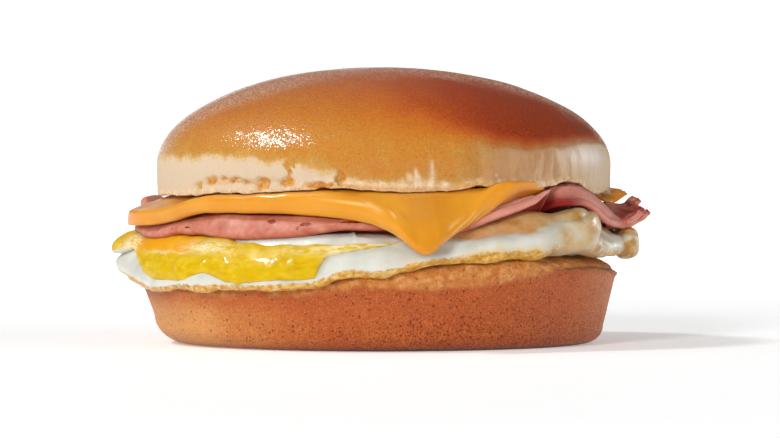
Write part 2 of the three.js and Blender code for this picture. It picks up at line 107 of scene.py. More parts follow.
# Tables by bearing, each read round the sandwich as one smooth closed curve, in millimetres apart from
# the powers of HEEL_SHOULDER_POWER
CROWN_LIP_HEIGHT = {
    0: 34.1, 60: 33.8, 120: 33.8, 180: 33.2, 205: 33.3, 235: 34, 250: 34.6, 257: 35, 266: 34.7,
    286: 34.4, 295: 35.5, 314: 35.4, 323: 36.4, 328: 35.9, 333: 34.5, 338: 33.8, 345: 33.9,
}
HEEL_RIM_HEIGHT = {
    0: 15.7, 45: 16, 100: 14.5, 150: 15, 180: 13.6, 205: 12.3, 245: 12.4, 270: 14, 290: 15,
    310: 16.6, 325: 17.3,
}
HEEL_CORNER_HEIGHT = {0: 4, 140: 4, 180: 6.5, 215: 6.2, 245: 4.4, 262: 4}
HEEL_FLAT_RADIUS = {0: 43.5, 180: 42, 205: 39, 245: 39, 270: 42, 300: 43.5}
HEEL_SHOULDER_POWER = {0: 1.3, 60: 1, 240: 0.9, 270: 0.8, 290: 0.6, 306: 0.65, 320: 1.2, 345: 1.5}
HEEL_SHOULDER_RISE = {0: 0.7, 60: 0, 270: 0, 300: 0.9, 325: 1.3, 345: 1.2}
EGG_REACH = {
    0: 53.8, 15: 53, 45: 54.2, 75: 55.4, 100: 55.2, 130: 53.6, 155: 55.2, 180: 58.4, 186: 58.3,
    193: 57, 202: 56, 212: 55.6, 240: 55.4, 254: 54.6, 262: 53.8, 280: 52.8, 305: 51.8, 318: 51.2,
    332: 52.2, 346: 53.6,
}
EGG_RIM_HEIGHT = {
    0: 21.6, 45: 20.6, 75: 18.4, 100: 17.8, 130: 19.4, 155: 20.2, 172: 19, 180: 18.2, 187: 17.2,
    196: 15.4, 205: 14.2, 214: 13.7, 222: 14.5, 240: 14.7, 254: 15.4, 261: 17.4, 272: 18.4, 281: 19.8,
    290: 20.9, 305: 21.7, 320: 21.8, 335: 21.4, 346: 21.4,
}
EGG_SHOULDER_RADIUS = {0: 45.5, 170: 46, 188: 49.2, 230: 49.6, 284: 49.2, 298: 46.5, 310: 45.5}
EGG_SWELL = {
    0: 0.8, 60: 0, 215: 0, 228: 0.3, 245: 0.9, 256: 1.5, 275: 1.7, 284: 1.8, 290: 2.7, 297: 4.1,
    302: 5.3, 308: 6.3, 313: 6.7, 319: 6.2, 326: 5, 333: 3.8, 341: 3.1, 350: 2.3,
}
# Heights above which the egg's top is painted with tan shade at the front right, under the ham and
# cheese; a small fold in the egg runs along it too
EGG_SHADED_TOP_HEIGHT = {
    0: 40, 90: 40, 200: 40, 258: 40, 264: 24.9, 272: 24.9, 278: 26.5, 283: 24.6, 291.5: 24.1,
    295.6: 24.6, 301: 25.1, 306: 25.4, 310: 26.5, 314: 27.6, 322: 28.4, 330: 30, 340: 25, 350: 24.6,
    356: 40,
}
LOWER_HAM_REACH = {
    0: 54.4, 10: 51.4, 30: 49.4, 60: 51, 90: 52, 120: 51, 150: 48, 175: 43.8, 270: 43.8,
    292: 40, 313: 38.5, 316: 43, 318.5: 48, 321: 50.8, 326: 51.8, 332: 52.8, 338: 53.4, 345: 54,
    352: 54.4,
}
LOWER_HAM_RIM_HEIGHT = {
    0: 26.3, 10: 26.2, 30: 25.8, 60: 25.3, 90: 24.9, 120: 25.2, 150: 25.8, 175: 25.7, 312: 25.7,
    316: 29, 320: 31.6, 326: 31.7, 329: 31, 332: 29.6, 336: 28, 340: 27.2, 347: 26.7, 354: 26.4,
}
LOWER_HAM_RIDGE_HEIGHT = {
    0: 27, 60: 25, 180: 25, 306: 25, 312: 28, 316: 33, 319: 34.8, 323: 35.1, 326: 35, 330: 34.2,
    336: 32.8, 342: 31, 345.5: 29.6, 350: 28,
}
LOWER_HAM_FOLD_RADIUS = {
    0: 51.8, 180: 44, 306: 38, 313: 36, 316: 40, 318.5: 45.6, 321: 48.6, 326: 49.4, 332: 50.2, 338: 50.8,
    345: 51.4, 350: 51.8,
}
UPPER_HAM_REACH = {
    0: 43.5, 30: 46.5, 60: 49, 100: 50.6, 130: 50, 148: 51.2, 160: 54, 168: 55.2, 176: 53.8,
    185: 54.8, 194: 53.6, 205: 52.4, 214: 51.9, 257: 51.8, 270: 51.4, 280: 50.8, 288: 51.2, 295: 51.8,
    306: 51.6, 311: 51.2, 314: 50.6, 317: 49.6, 320: 47.2, 324: 39.5, 344: 39.5,
}
UPPER_HAM_RIM_HEIGHT = {
    0: 28.3, 30: 28.1, 60: 27.8, 100: 27.5, 130: 28, 148: 28.6, 157: 30.4, 163: 32, 169: 31.6,
    174: 28.8, 180: 26, 187: 25.6, 192: 25, 197: 24.8, 204: 25.1, 212: 26, 219: 26, 226: 25.3,
    232: 25, 238: 25, 246: 25.5, 251: 26.1, 256: 26.7, 262: 27.2, 271: 27.2, 280: 26, 286: 26,
    291: 27.2, 297: 29.2, 302: 30.6, 306: 31.5, 309: 32.1, 313: 33.6, 316: 34.4, 319: 35, 322: 33.5,
    326: 28.5, 344: 28.3,
}
UPPER_HAM_DROP_WIDTH = {0: 7.8, 208: 7.8, 218: 5, 230: 2.8, 262: 2.8, 275: 4.5, 286: 7.5}
UPPER_HAM_FOLD_RISE = {0: 0, 180: 0, 286: 0, 292: 0.9, 298: 1.7, 304: 2.2, 309: 1.7, 313: 0.8, 317: 0}
UPPER_HAM_FOLD_RADIUS = {0: 44, 180: 44, 286: 49.6, 309: 49.8, 314: 48.2, 318: 44}
CHEESE_REACH = {
    5: 47.6, 20: 46.4, 45: 43.6, 70: 46.6, 88: 51.4, 97: 54, 106: 51.8, 125: 46.6, 150: 43.6,
    168: 44.2, 177: 48.6, 183: 53, 188: 55.1, 194: 54.5, 203: 52.4, 212: 51.4, 222: 50.9, 235: 50.9,
    250: 51, 257: 51.5, 263: 52.5, 267: 53.8, 270: 55.4, 272: 56.8, 274: 58.4, 276: 59.5, 278.6: 60,
    281: 59.2, 283: 57.6, 286: 55.4, 290: 53.2, 295: 51.8, 301: 51.2, 305: 50.8, 309: 50.3, 313: 49.8,
    316: 48.4, 319: 44.5, 322: 40, 342: 38.6,
}
CHEESE_RIM_HEIGHT = {
    5: 31.6, 45: 31.6, 75: 31.4, 97: 29.4, 120: 31.4, 150: 31.6, 164: 31.2, 171: 30.4, 177: 29.4,
    184: 28.9, 188: 28.9, 197: 29, 203: 29.2, 209: 29.8, 216: 30.9, 222: 31.4, 245: 31.5, 253: 31.1,
    260: 30.5, 267: 29.6, 270: 28.6, 272: 27.5, 274: 25.8, 275.7: 24, 277.3: 22.7, 278.8: 22.3,
    280.2: 22.8, 283: 24.9, 288: 27.9, 292: 29.8, 295.5: 31.4, 298.5: 33, 301.5: 34.2, 305: 34.9,
    308.6: 35.1, 312: 34.95, 314: 34.8, 317: 34.6, 322: 33, 342: 31.6,
}
CHEESE_RIM_THICKNESS = {
    0: 2.4, 20: 3.6, 168: 3.6, 182: 4.1, 194: 4.2, 206: 3.8, 218: 3.6, 270: 3.6, 273: 3.2, 276: 2.6,
    279: 2.4, 282: 2.7, 286: 3.2, 290: 3.6, 301: 3.6, 305: 2.6, 308.6: 1.8, 311: 1.2, 313.5: 0.8,
    316: 0.6, 322: 0.8, 340: 1.4,
}
CHEESE_SHOULDER_RADIUS = {0: 44, 245: 44, 253: 47.6, 262: 48.4, 270: 48.6, 290: 48.6, 298: 45.5, 310: 44}
YOLK_EDGE_HEIGHT = {
    90: 20, 174: 18.8, 182: 18.6, 187: 19.6, 190: 20.8, 193: 20.2, 198: 18.2, 203: 16.2, 209: 15.2,
    220: 15.2, 227: 16.8, 237: 14.7, 246: 14.9, 251: 15.2, 254.6: 15.4, 256: 18.8, 257.5: 20.6,
    262: 21.6, 268: 22.6, 276: 23.6, 292: 23.8,
}

# Heights of the cheese's crease, pushed out and painted with a highlight, by how far right it is
CHEESE_CREASE = (-22, -15.6, -8.8, -2.1, 3, 4.3, 6.5), (33.2, 32.9, 32.2, 31.3, 29.2, 28.4, 26.9)

# Drops in the yolk's lower edge: bearing, height, size
YOLK_DROPS = (
    (217.8, 18.5, 0.8), (226.7, 18.9, 0.7), (232.2, 19.3, 0.7), (233.2, 18.2, 0.9), (250.3, 18.5, 1.1),
    (236.7, 15.2, 0.9),
)

# Upright creases in the crown's side: how many, and how deep they show by bearing
CREASE_COUNT = 110
CREASES_SHOWN = {0: 1, 60: 0.7, 120: 0.35, 200: 0.3, 260: 0.4, 290: 1, 330: 1}

# Torn hollows over the crown's lip: bearing, height above the lip, half width in degrees, half height
PITS = (
    (218, 2.2, 1.1, 1), (222.5, 2.9, 1.9, 1.1), (227, 3, 1.2, 0.55), (230.5, 3.2, 1.5, 0.5),
    (234, 2.8, 1.3, 0.5), (239.4, 1.9, 2.2, 1.5), (246, 1.7, 2, 1), (247.0, 2.4, 0.8, 1),
    (254.5, 0.9, 4.2, 0.7), (259.5, 2.4, 1.1, 1.6), (20, 2, 1.5, 0.9), (75, 1.8, 2.2, 0.8),
    (110, 2.2, 1.3, 1), (152, 1.6, 1.7, 0.7), (180, 2, 1.2, 0.9),
)

# Marks on the ham: bearing, height, half width in degrees, half height
HAM_MARKS = (
    (242.3, 27.9, 1.6, 0.42), (252.1, 27.3, 2.6, 0.45), (249, 26.4, 1.2, 0.2), (262.6, 27.9, 3, 0.22),
    (201.5, 25.8, 1, 0.35), (215.6, 26.4, 1.4, 0.25), (209, 26, 0.5, 0.2), (233, 26.2, 0.4, 0.25),
)

# Brown stains on the egg's folds: x, y, z, radius
EGG_STAINS = (
    (42.4, -33.5, 28.6, 2.4), (45.6, -31, 26.2, 3), (39, -36, 23.6, 2.4), (47.5, -27, 21.2, 3.6),
    (36.5, -38, 21.2, 2.6), (51, -18, 20, 2.6),
)
EGG_KNOB_STAIN = ((56.8, -11.5, 20.6, 3.6), (54.0, -12.5, 20.2, 2.8), (57.6, -9.5, 21.2, 2.6))

# How the crust's colour runs round the bun: where the gold ends, how deep it is there, over which
# heights it browns, and how tan the pale side is
CRUST_EDGE_HEIGHT = {
    0: 42, 40: 41.6, 90: 40.6, 140: 41.2, 180: 41.3, 215: 41.2, 232: 41.2, 238: 40.8, 244: 40,
    250: 39.4, 256: 38.6, 261: 36.6, 268: 35.6, 275: 35.4, 290: 35.6, 300: 36.1, 325: 36.4, 345: 38,
}
CRUST_LOW_SHADE = {
    0: 0.14, 40: 0.26, 90: 0.36, 140: 0.42, 240: 0.42, 270: 0.43, 284: 0.42, 290: 0.38, 296: 0.24,
    304: 0.12, 325: 0.04, 345: 0.04,
}
CRUST_RISE_FROM = {
    0: 43.2, 60: 42.5, 120: 42, 262: 42, 285: 42.2, 300: 42.2, 312: 42.2, 322: 42.8, 340: 43.4,
}
CRUST_RISE_SPAN = {0: 5, 60: 9, 120: 15, 180: 17, 262: 19, 280: 14, 292: 9, 304: 4.5, 320: 4, 340: 4}
SIDE_TINT = {
    0: 0, 60: 0.3, 120: 0.15, 180: 0.05, 250: 0, 280: 0.5, 296: 1, 312: 1, 322: 0.75, 330: 0.3,
    338: 0,
}

# Golden drips at the front: bearing, lowest height, half width in degrees
GOLDEN_DRIPS = ((246.5, 37.2, 1), (248.3, 39.2, 1.3), (259.5, 35.3, 1))

# Pale torn streaks at the front: bearing, lowest height, highest height, half width in degrees
WHITE_TEARS = (
    (281.3, 35.2, 44, 1.2), (277.6, 35, 40.4, 2), (276.0, 35, 39.2, 2.4), (274.2, 35, 38, 2.6),
    (272.0, 35, 37, 2.6), (284.2, 35, 37, 1.2), (267, 35, 36.3, 2), (293.4, 35.4, 37.8, 1.1),
    (264, 35, 37.5, 0.8), (298.5, 35.4, 38.5, 0.5),
)

# Colours of the heel by bearing: how clear its rim is, how soft and how low the shoulder's edge runs,
# how warm the wall is and how much warmer above, partly crust colour and partly painted shade under
# the egg's overhang, how many pores it has, and how much painted contact shade darkens its foot
HEEL_RIM_SHOWN = {0: 0.9, 30: 0.5, 90: 0.35, 200: 0.1, 300: 0.05, 311: 0.1, 317: 0.8, 330: 1}
HEEL_SHOULDER_SOFT = {0: 0.5, 60: 1, 240: 1.6, 270: 1.6, 300: 1.6, 311: 1.3, 318: 0.35}
HEEL_SHOULDER_LOW = {0: 0, 200: 0, 262: 0, 280: -0.6, 292: -0.9, 306: -0.8, 316: 0}
HEEL_WARMTH = {
    0: 0.4, 60: 0.4, 120: 0.3, 180: 0.1, 215: 0.05, 235: 0.26, 255: 0.5, 290: 0.58, 312: 0.6, 330: 0.48,
    345: 0.38,
}
HEEL_WARMER_AND_SHADED_ABOVE = {0: 0, 180: 0.9, 215: 0.8, 240: 0.55, 260: 0.2, 290: 0}
HEEL_PORES = {0: 0.55, 90: 0.5, 180: 0.15, 215: 0.15, 245: 0.35, 285: 0.8, 315: 1}
HEEL_FOOT_SHADE = {0: 0.6, 200: 0.1, 240: 0.5, 275: 1}

# The egg's browned rim by bearing: how much wider it is in millimetres, and how golden above
EGG_FRILL_WIDTH = {
    0: 0, 180: -0.8, 205: -1, 250: -0.9, 268: -0.3, 285: 0.4, 296: 1.3, 306: 1, 315: 0,
}
EGG_RIM_GLOW = {0: 0.5, 200: 0.3, 224: 0.9, 236: 0.3, 256: 0.4, 270: 0.8, 310: 0.9}

# Brightness of the floor's own glow near and far and the metres between which it changes, and
# brightness of the studio by height: sine from, to, low, high
FLOOR_GLOW = (0.3, 0.75)
FLOOR_GLOW_METRES = (0.25, 0.7)
FLOOR_HALF_METRES = 60
SKY_FALL = (0.04, 0.16, 1.05, 0.22)
GLINT_DIRECTION = (-0.572, -0.13, 0.7)
SOFTBOX_AIM_HEIGHT = 40


def mix(a, b, share):
    return a + (b - a) * share


def smooth(value, low, high):
    share = np.clip((value - low) / (high - low), 0, 1)
    return share * share * (3 - 2 * share)


def falling(value, low, high):
    return 1 - smooth(value, low, high)


def hump(value, middle, width):
    return np.exp(-(((value - middle) / width) ** 2))


def apart(bearing, other):
    """Signed degrees from one bearing to another, the short way round."""
    return (bearing - other + 180) % 360 - 180


def bearing_of(points):
    return np.degrees(np.arctan2(points[..., 1], points[..., 0])) % 360


def beside(bearing, other, width):
    """How near one bearing is to another, as a soft share of 1."""
    return hump(apart(bearing, other), 0, width)


def past(bearing, other, low, high):
    """Soft share of 1 that rises from low to high degrees past another bearing."""
    return smooth(apart(bearing, other), low, high)


def short_of(bearing, other, low, high):
    return 1 - past(bearing, other, low, high)


def bearings_round(count):
    return np.arange(count) * 360 / count


def radius_of(points):
    return np.hypot(points[..., 0], points[..., 1])


def around(table, bearing):
    """A smooth closed curve through a table of values by bearing, which never overshoots them."""
    keys = np.array(sorted(table), float)
    values = np.array([table[key] for key in sorted(table)], float)
    span = np.append(keys[1:], keys[0] + 360) - keys
    rise = np.roll(values, -1) - values
    after = rise / span
    before = np.roll(after, 1)
    total = np.where(before * after > 0, before + after, 1)
    slope = np.where(before * after > 0, 2 * before * after / total, 0)
    turned = keys[0] + np.mod(bearing - keys[0], 360)
    i = np.clip(np.searchsorted(keys, turned, side="right") - 1, 0, len(keys) - 1)
    u = (turned - keys[i]) / span[i]
    lead, tail, r = slope[i] * span[i], np.roll(slope, -1)[i] * span[i], rise[i]
    return values[i] + u * (lead + u * (3 * r - 2 * lead - tail + u * (lead + tail - 2 * r)))


def waver(bearing, counts, phase):
    """A few waves of whole numbers round the sandwich, from -1 to 1."""
    waves = [np.sin(np.radians(bearing * count) + phase * (k + 1)) for k, count in enumerate(counts)]
    return sum(waves) / len(counts)


def lattice_value(cell, seed):
    """Random value from -1 to 1 of each whole-numbered cell, by mixing the bits of its numbers."""
    h = cell[..., 0] * 374761393 + cell[..., 1] * 668265263 + cell[..., 2] * 2147483647 + seed * 144665
    h = (h ^ (h >> 13)) * 1274126177 & 0xFFFFFFFF
    h = (h ^ (h >> 16)) * 2246822519 & 0xFFFFFFFF
    return (h ^ (h >> 15)) / 0xFFFFFFFF * 2 - 1


def noise(points, size, seed, stretch=(1, 1, 1)):
    """Smooth noise from -1 to 1 whose bumps are about as large as size."""
    scaled = points / (size * np.array(stretch, float))
    cell = np.floor(scaled).astype(np.int64)
    share = scaled - cell
    fade = share ** 3 * (share * (share * 6 - 15) + 10)
    total = 0
    for corner in np.ndindex(2, 2, 2):
        weight = np.prod(np.where(corner, fade, 1 - fade), axis=-1)
        total = total + weight * lattice_value(cell + np.array(corner), SEED + seed)
    return total


def rough(points, size, seed, octaves=3, gain=0.5, stretch=(1, 1, 1)):
    """Noise from -1 to 1 in layers, each half as large as the one before."""
    layers = [noise(points, size / 2 ** k, seed + 31 * k, stretch) * gain ** k for k in range(octaves)]
    return sum(layers) / sum(gain ** k for k in range(octaves))


def strongest(fields):
    return np.maximum.reduce(list(fields))


def blobs(points, spots):
    """The strongest of several soft spots, each (x, y, z, radius)."""
    return strongest(
        hump(np.linalg.norm(points - np.array(centre), axis=-1), 0, radius) for *centre, radius in spots
    )


def place(bearing, radius, height):
    """Points in millimetres from cylinder coordinates of any matching shapes."""
    angle = np.radians(bearing)
    return np.stack(np.broadcast_arrays(radius * np.cos(angle), radius * np.sin(angle), height), axis=-1)


def in_scene(data):
    """Puts a mesh, a light or a camera in the scene as an object of the same name."""
    made = bpy.data.objects.new(data.name, data)
    bpy.context.scene.collection.objects.link(made)
    return made


def mesh_object(name, points, quads, triangles=()):
    """A smooth-shaded mesh object from points in millimetres."""
    mesh = bpy.data.meshes.new(name)
    points = np.asarray(points, float).reshape(-1, 3)
    quads = np.asarray(quads, np.int64).reshape(-1, 4)
    triangles = np.asarray(triangles, np.int64).reshape(-1, 3)
    mesh.vertices.add(len(points))
    mesh.vertices.foreach_set("co", (points * MM).ravel())
    mesh.loops.add(quads.size + triangles.size)
    mesh.loops.foreach_set("vertex_index", np.concatenate([quads.ravel(), triangles.ravel()]))
    starts = np.concatenate([np.arange(len(quads)) * 4, quads.size + np.arange(len(triangles)) * 3])
    mesh.polygons.add(len(quads) + len(triangles))
    mesh.polygons.foreach_set("loop_start", starts)
    mesh.update(calc_edges=True)
    mesh.validate()
    mesh.shade_smooth()
    return in_scene(mesh)


def points_of(piece):
    values = np.zeros(len(piece.data.vertices) * 3)
    piece.data.vertices.foreach_get("co", values)
    return values.reshape(-1, 3) / MM


def surface_of(piece):
    """A piece's points, and the bearing, radius and height of each."""
    points = points_of(piece)
    return points, bearing_of(points), radius_of(points), points[:, 2]


def set_points(piece, points):
    piece.data.vertices.foreach_set("co", (points * MM).ravel())
    piece.data.update()


def normals_of(piece):
    values = np.zeros(len(piece.data.vertices) * 3)
    piece.data.vertex_normals.foreach_get("vector", values)
    return values.reshape(-1, 3)


def push(piece, distance):
    """Moves each point of a piece along its normal by millimetres."""
    set_points(piece, points_of(piece) + normals_of(piece) * distance[:, None])


def give(piece, name, values):
    """Stores a value for each point of a piece, which its material reads."""
    attribute = piece.data.attributes.new(name, "FLOAT", "POINT")
    attribute.data.foreach_set("value", np.asarray(values, np.float32))


def revolved(name, rings):
    """Closed body from rings of points, top pole first and bottom pole last."""
    count = rings.shape[1]
    inner = rings[1:-1]
    points = np.concatenate([rings[0, :1], inner.reshape(-1, 3), rings[-1, :1]])
    i = np.arange(count)
    after = (i + 1) % count
    rows = np.arange(len(inner) - 1)[:, None] * count + 1
    quads = np.stack([rows + i, rows + count + i, rows + count + after, rows + after], axis=-1)
    last = len(points) - 1
    foot = 1 + (len(inner) - 1) * count
    top = np.stack([np.zeros_like(i), 1 + i, 1 + after], axis=-1)
    bottom = np.stack([np.full_like(i, last), foot + after, foot + i], axis=-1)
    return mesh_object(name, points, quads, np.concatenate([top, bottom]))


def slice_rings(middle, thickness, stations, segments, rim_steps=10, rim_power=1.0):
    """Rings of a slice of food: its middle curve, thickened square to itself, with a round rim."""
    bearing = bearings_round(segments)

    def frame_at(t):
        radius, height = middle(t, bearing)
        ahead, behind = middle(t + STEP, bearing), middle(max(0, t - STEP), bearing)
        run = np.hypot(ahead[0] - behind[0], ahead[1] - behind[1])
        tangent = ((ahead[0] - behind[0]) / run, (ahead[1] - behind[1]) / run)
        return radius, height, tangent, thickness(t, bearing) / 2

    def offset(at, angle):
        radius, height, (along_r, along_z), half = at
        out = half * abs(math.sin(angle)) ** rim_power
        up = half * np.sign(math.cos(angle)) * abs(math.cos(angle)) ** rim_power
        r = np.maximum(0, radius + out * along_r - up * along_z)
        return place(bearing, r, height + out * along_z + up * along_r)

    frames = [frame_at(t) for t in stations]
    rings = [offset(at, 0) for at in frames]
    rings += [offset(frames[-1], math.pi * k / rim_steps) for k in range(1, rim_steps)]
    rings += [offset(at, math.pi) for at in reversed(frames)]
    rings = np.array(rings)
    rings[0], rings[-1] = rings[0].mean(0), rings[-1].mean(0)
    return rings


def stations_to_rim(fine_from, fine_count):
    """Shares of the way to the rim where a slice gets its rings, finer near the rim."""
    return [0, 0.25, 0.45, 0.6, *np.linspace(fine_from, 1, fine_count)]


def draped(flat_height, shoulder, reach, rim_height, t):
    """Middle curve that is flat out to a shoulder and then bends to the rim's own height."""
    radius = reach * t
    bend = np.maximum(0, radius - shoulder) / (reach - shoulder)
    return radius, mix(flat_height, rim_height, bend * bend)


def patch(name, columns, rows, middle_at, thickness_at):
    """Closed curved patch of food with its own thickness at each place of its middle surface."""
    u, v = np.meshgrid(np.linspace(0, 1, columns + 1), np.linspace(0, 1, rows + 1))
    along = middle_at(u + STEP, v) - middle_at(u - STEP, v)
    across = middle_at(u, v + STEP) - middle_at(u, v - STEP)
    normal = np.cross(along, across)
    normal /= np.linalg.norm(normal, axis=-1, keepdims=True)
    half = (thickness_at(u, v) / 2)[..., None] * normal
    centre = middle_at(u, v)
    points = np.concatenate([(centre + half).reshape(-1, 3), (centre - half).reshape(-1, 3)])
    wide, under = columns + 1, (columns + 1) * (rows + 1)
    j, i = np.meshgrid(np.arange(rows), np.arange(columns), indexing="ij")
    a = (j * wide + i).ravel()
    top = np.stack([a, a + 1, a + wide + 1, a + wide], axis=-1)
    bottom = under + top[:, ::-1]
    border = np.concatenate([
        np.arange(columns), np.arange(rows) * wide + columns,
        rows * wide + np.arange(columns, 0, -1), np.arange(rows, 0, -1) * wide,
    ])
    following = np.roll(border, -1)
    sides = np.stack([border, under + border, under + following, following], axis=-1)
    return mesh_object(name, points, np.concatenate([top, bottom, sides]))


def ball(name, bearing, radius, height, half, power):
    """Ellipsoid with its half sizes outward, along the rim and upward, blockier for a lower power."""
    columns, rows = 96, 48
    polar = np.linspace(0, math.pi, rows + 1)[:, None]
    angle = (np.arange(columns) * 2 * math.pi / columns)[None, :]
    fuller = [np.sign(wave) * np.abs(wave) ** power
              for wave in (np.sin(polar), np.cos(polar), np.cos(angle), np.sin(angle))]
    local = np.stack(np.broadcast_arrays(
        fuller[0] * fuller[2] * half[0], fuller[0] * fuller[3] * half[1], fuller[1] * half[2]), axis=-1)
    turn = math.radians(bearing)
    x = (local[..., 0] + radius) * math.cos(turn) - local[..., 1] * math.sin(turn)
    y = (local[..., 0] + radius) * math.sin(turn) + local[..., 1] * math.cos(turn)
    return revolved(name, np.stack([x, y, local[..., 2] + height], axis=-1))


def combined(piece, others):
    """Joins other closed pieces to this one."""
    for other in others:
        step = piece.modifiers.new("combine", "BOOLEAN")
        step.operation, step.object, step.solver = "UNION", other, "MANIFOLD"
    graph = bpy.context.evaluated_depsgraph_get()
    mesh = bpy.data.meshes.new_from_object(piece.evaluated_get(graph))
    piece.modifiers.clear()
    piece.data = mesh
    mesh.shade_smooth()
    for other in others:
        bpy.data.objects.remove(other)
    return piece


def undulate(piece, free_radii, layers):
    """Waves a slice where it lies free of the bun, by layers of (millimetres, size, seed)."""
    points = points_of(piece)
    waves = sum(depth * noise(points, size, seed) for depth, size, seed in layers)
    push(piece, smooth(radius_of(points), *free_radii) * waves)


def relax(piece, weight, rounds):
    """Evens out a mesh where weight is above 0."""
    pace = 0.6
    points = points_of(piece)
    ends = np.zeros(len(piece.data.edges) * 2, np.int64)
    piece.data.edges.foreach_get("vertices", ends)
    a, b = ends.reshape(-1, 2).T
    count = np.bincount(np.concatenate([a, b]), minlength=len(points))[:, None]
    for _ in range(rounds):
        total = np.stack([
            np.bincount(a, points[b, k], len(points)) + np.bincount(b, points[a, k], len(points))
            for k in range(3)
        ], axis=-1)
        points += weight[:, None] * pace * (total / count - points)
    set_points(piece, points)


def crown_rings(bearing, lip):
    """Rings over the dome, down the side, round the lip and in over the cut face."""
    side = CROWN_RADIUS + 0.3 * waver(bearing, [2, 5, 7], 0.6)
    rings = []
    for share in np.linspace(0, 1, 96):
        angle = math.pi / 2 * share ** 0.92
        height = mix(CROWN_WIDEST_HEIGHT, CROWN_TOP, math.cos(angle))
        rings.append(place(bearing, side * math.sin(angle), height))
    for share in np.linspace(0.08, 1, 15):
        height = mix(CROWN_WIDEST_HEIGHT, lip + CROWN_LIP_ROUND, share)
        rings.append(place(bearing, side - CROWN_LIP_ROUND * share ** 2, height))
    for share in np.linspace(0.15, 1, 7):
        angle = math.pi / 2 * share
        inset = CROWN_LIP_ROUND * (1 + 1.3 * (1 - math.cos(angle)))
        rings.append(place(bearing, side - inset, lip + CROWN_LIP_ROUND * (1 - math.sin(angle))))
    for share in (0.1, 0.25, 0.4, 0.55, 0.7, 0.85, 1):
        radius = mix(side - 2.3 * CROWN_LIP_ROUND, CROWN_CUT_FLAT_RADIUS, share)
        rings.append(place(bearing, radius, mix(lip, CROWN_CUT_HEIGHT, smooth(share, 0, 0.7))))
    rings.append(place(bearing, 0.5 * CROWN_CUT_FLAT_RADIUS, CROWN_CUT_HEIGHT))
    rings.append(place(bearing, 0, CROWN_CUT_HEIGHT))
    return np.array(rings)


def crown_piece():
    """Top half of the bun: glazed dome, pale creased side, torn edge and a toasted scrap."""
    bearing = bearings_round(BUN_SEGMENTS)
    lip = around(CROWN_LIP_HEIGHT, bearing) + 0.15 * waver(bearing, [11, 17], 2.2)
    lip = lip + 0.22 * rough(place(bearing, CROWN_RADIUS, 0), 2.6, 1, 3)
    crown = revolved("bun_top", crown_rings(bearing, lip))

    points, bearings, radius, height = surface_of(crown)
    lips = np.interp(bearings, bearing, lip, period=360)
    above_lip = height - lips
    band = smooth(height, lips - 0.5, lips + 1) * falling(height, 42.5, 46)
    outside = smooth(radius, CROWN_RADIUS - 4.5, CROWN_RADIUS - 2.2)
    shift = -band * outside * creases(bearings, height)
    shift += 0.28 * outside * falling(above_lip, 0.5, 4) * rough(points, 1.7, 5, 3)
    shift += (0.35 * noise(points, 22, 8) + 0.1 * noise(points, 7, 9)) * smooth(above_lip, 1, 6)
    groove = hump(above_lip, groove_height(bearings, 2.3), 0.55)
    torn = np.maximum(beside(bearings, 233, 11), 0.8 * beside(bearings, 60, 25))
    shift -= 0.55 * groove * torn * outside
    shift -= 0.9 * pit_field(bearings, above_lip) * outside
    push(crown, shift)
    crown = combined(crown, [flap_piece()])
    crown_fields(crown, bearing, lip)
    return crown


def crown_fields(crown, bearing, lip):
    """Stores where the crust is baked, toasted, rosy, torn or pale, and where a satin highlight is
    painted on the pale side, for its material.
    """
    points, bearings, radius, height = surface_of(crown)
    above_lip = height - np.interp(bearings, bearing, lip, period=360)
    edge = around(CRUST_EDGE_HEIGHT, bearings)
    streaks = noise(points, 1.5, 12, (1, 1, 5)) + 0.5 * noise(points, 0.8, 14, (1, 1, 4))
    uneven_height = height + 0.75 * streaks + 0.5 * noise(points, 3.5, 11)
    gold = around(CRUST_LOW_SHADE, bearings) * smooth(uneven_height, edge - 1.3, edge + 1.9)
    gold = gold - 0.1 * smooth(edge + 4 + streaks, height, height + 4) * (gold > 0.2)
    top = 0.6 + 0.3 * smooth(points[:, 0] + 0.25 * (height - 45), -20, 38)
    rise = height + 0.7 * noise(points, 4, 13) - around(CRUST_RISE_FROM, bearings)
    rise = rise / around(CRUST_RISE_SPAN, bearings)
    baked = mix(gold, np.maximum(top, gold), smooth(rise, 0, 1))
    baked = np.maximum(baked, golden_drips(bearings, height))
    scrap = np.maximum(smooth(radius, 51.2, 52), falling(above_lip, -0.9, -0.3))
    scrap = scrap * beside(bearings, 350, 12)
    scrap = scrap * (radius > 44) * falling(height, 35.4, 36.4)
    baked = np.maximum(baked, scrap * (0.45 + 0.2 * noise(points, 1.5, 20)))
    give(crown, "baked", baked)
    toast = pit_field(bearings, above_lip) + 0.75 * groove_toast(bearings, above_lip)
    give(crown, "toast", np.clip(toast, 0, 1) * (1 - scrap))
    rosy = past(bearings, 292, -6, 10) * short_of(bearings, 20, -5, 25)
    give(crown, "rosy", rosy * (1 - scrap))
    give(crown, "tint", around(SIDE_TINT, bearings) * smooth(height, 30, 38))
    inner = falling(radius, CROWN_RADIUS - 4.2, CROWN_RADIUS - 2.4)
    pale_height = 1.6 + 1.3 * past(bearings, 244, 0, 6) * short_of(bearings, 291, -8, 0)
    crumb = np.maximum(falling(above_lip + 0.4 * streaks, 0.3, pale_height), inner * (height < 38))
    give(crown, "crumb", crumb * falling(scrap, 0, 0.3))
    # Painted satin highlight: a pale whitened band on the crown's right side
    give(crown, "painted_satin_highlight", 0.9 * beside(bearings, 334, 11) * hump(height, 42.0, 2.2))
    give(crown, "tear", white_tears(bearings, height))


def lip_of(crown):
    """Bearings round the crown and the lowest height of its lip near each."""
    inner_radius = 47
    points = points_of(crown)
    points = points[radius_of(points) > inner_radius]
    steps = np.round(bearing_of(points) * LIP_STEPS / 360).astype(int) % LIP_STEPS
    lowest = np.array([points[steps == k, 2].min() for k in range(LIP_STEPS)])
    neighbours = (np.roll(lowest, 1) + np.roll(lowest, -1)) / 2
    return bearings_round(LIP_STEPS), np.minimum(lowest, neighbours)


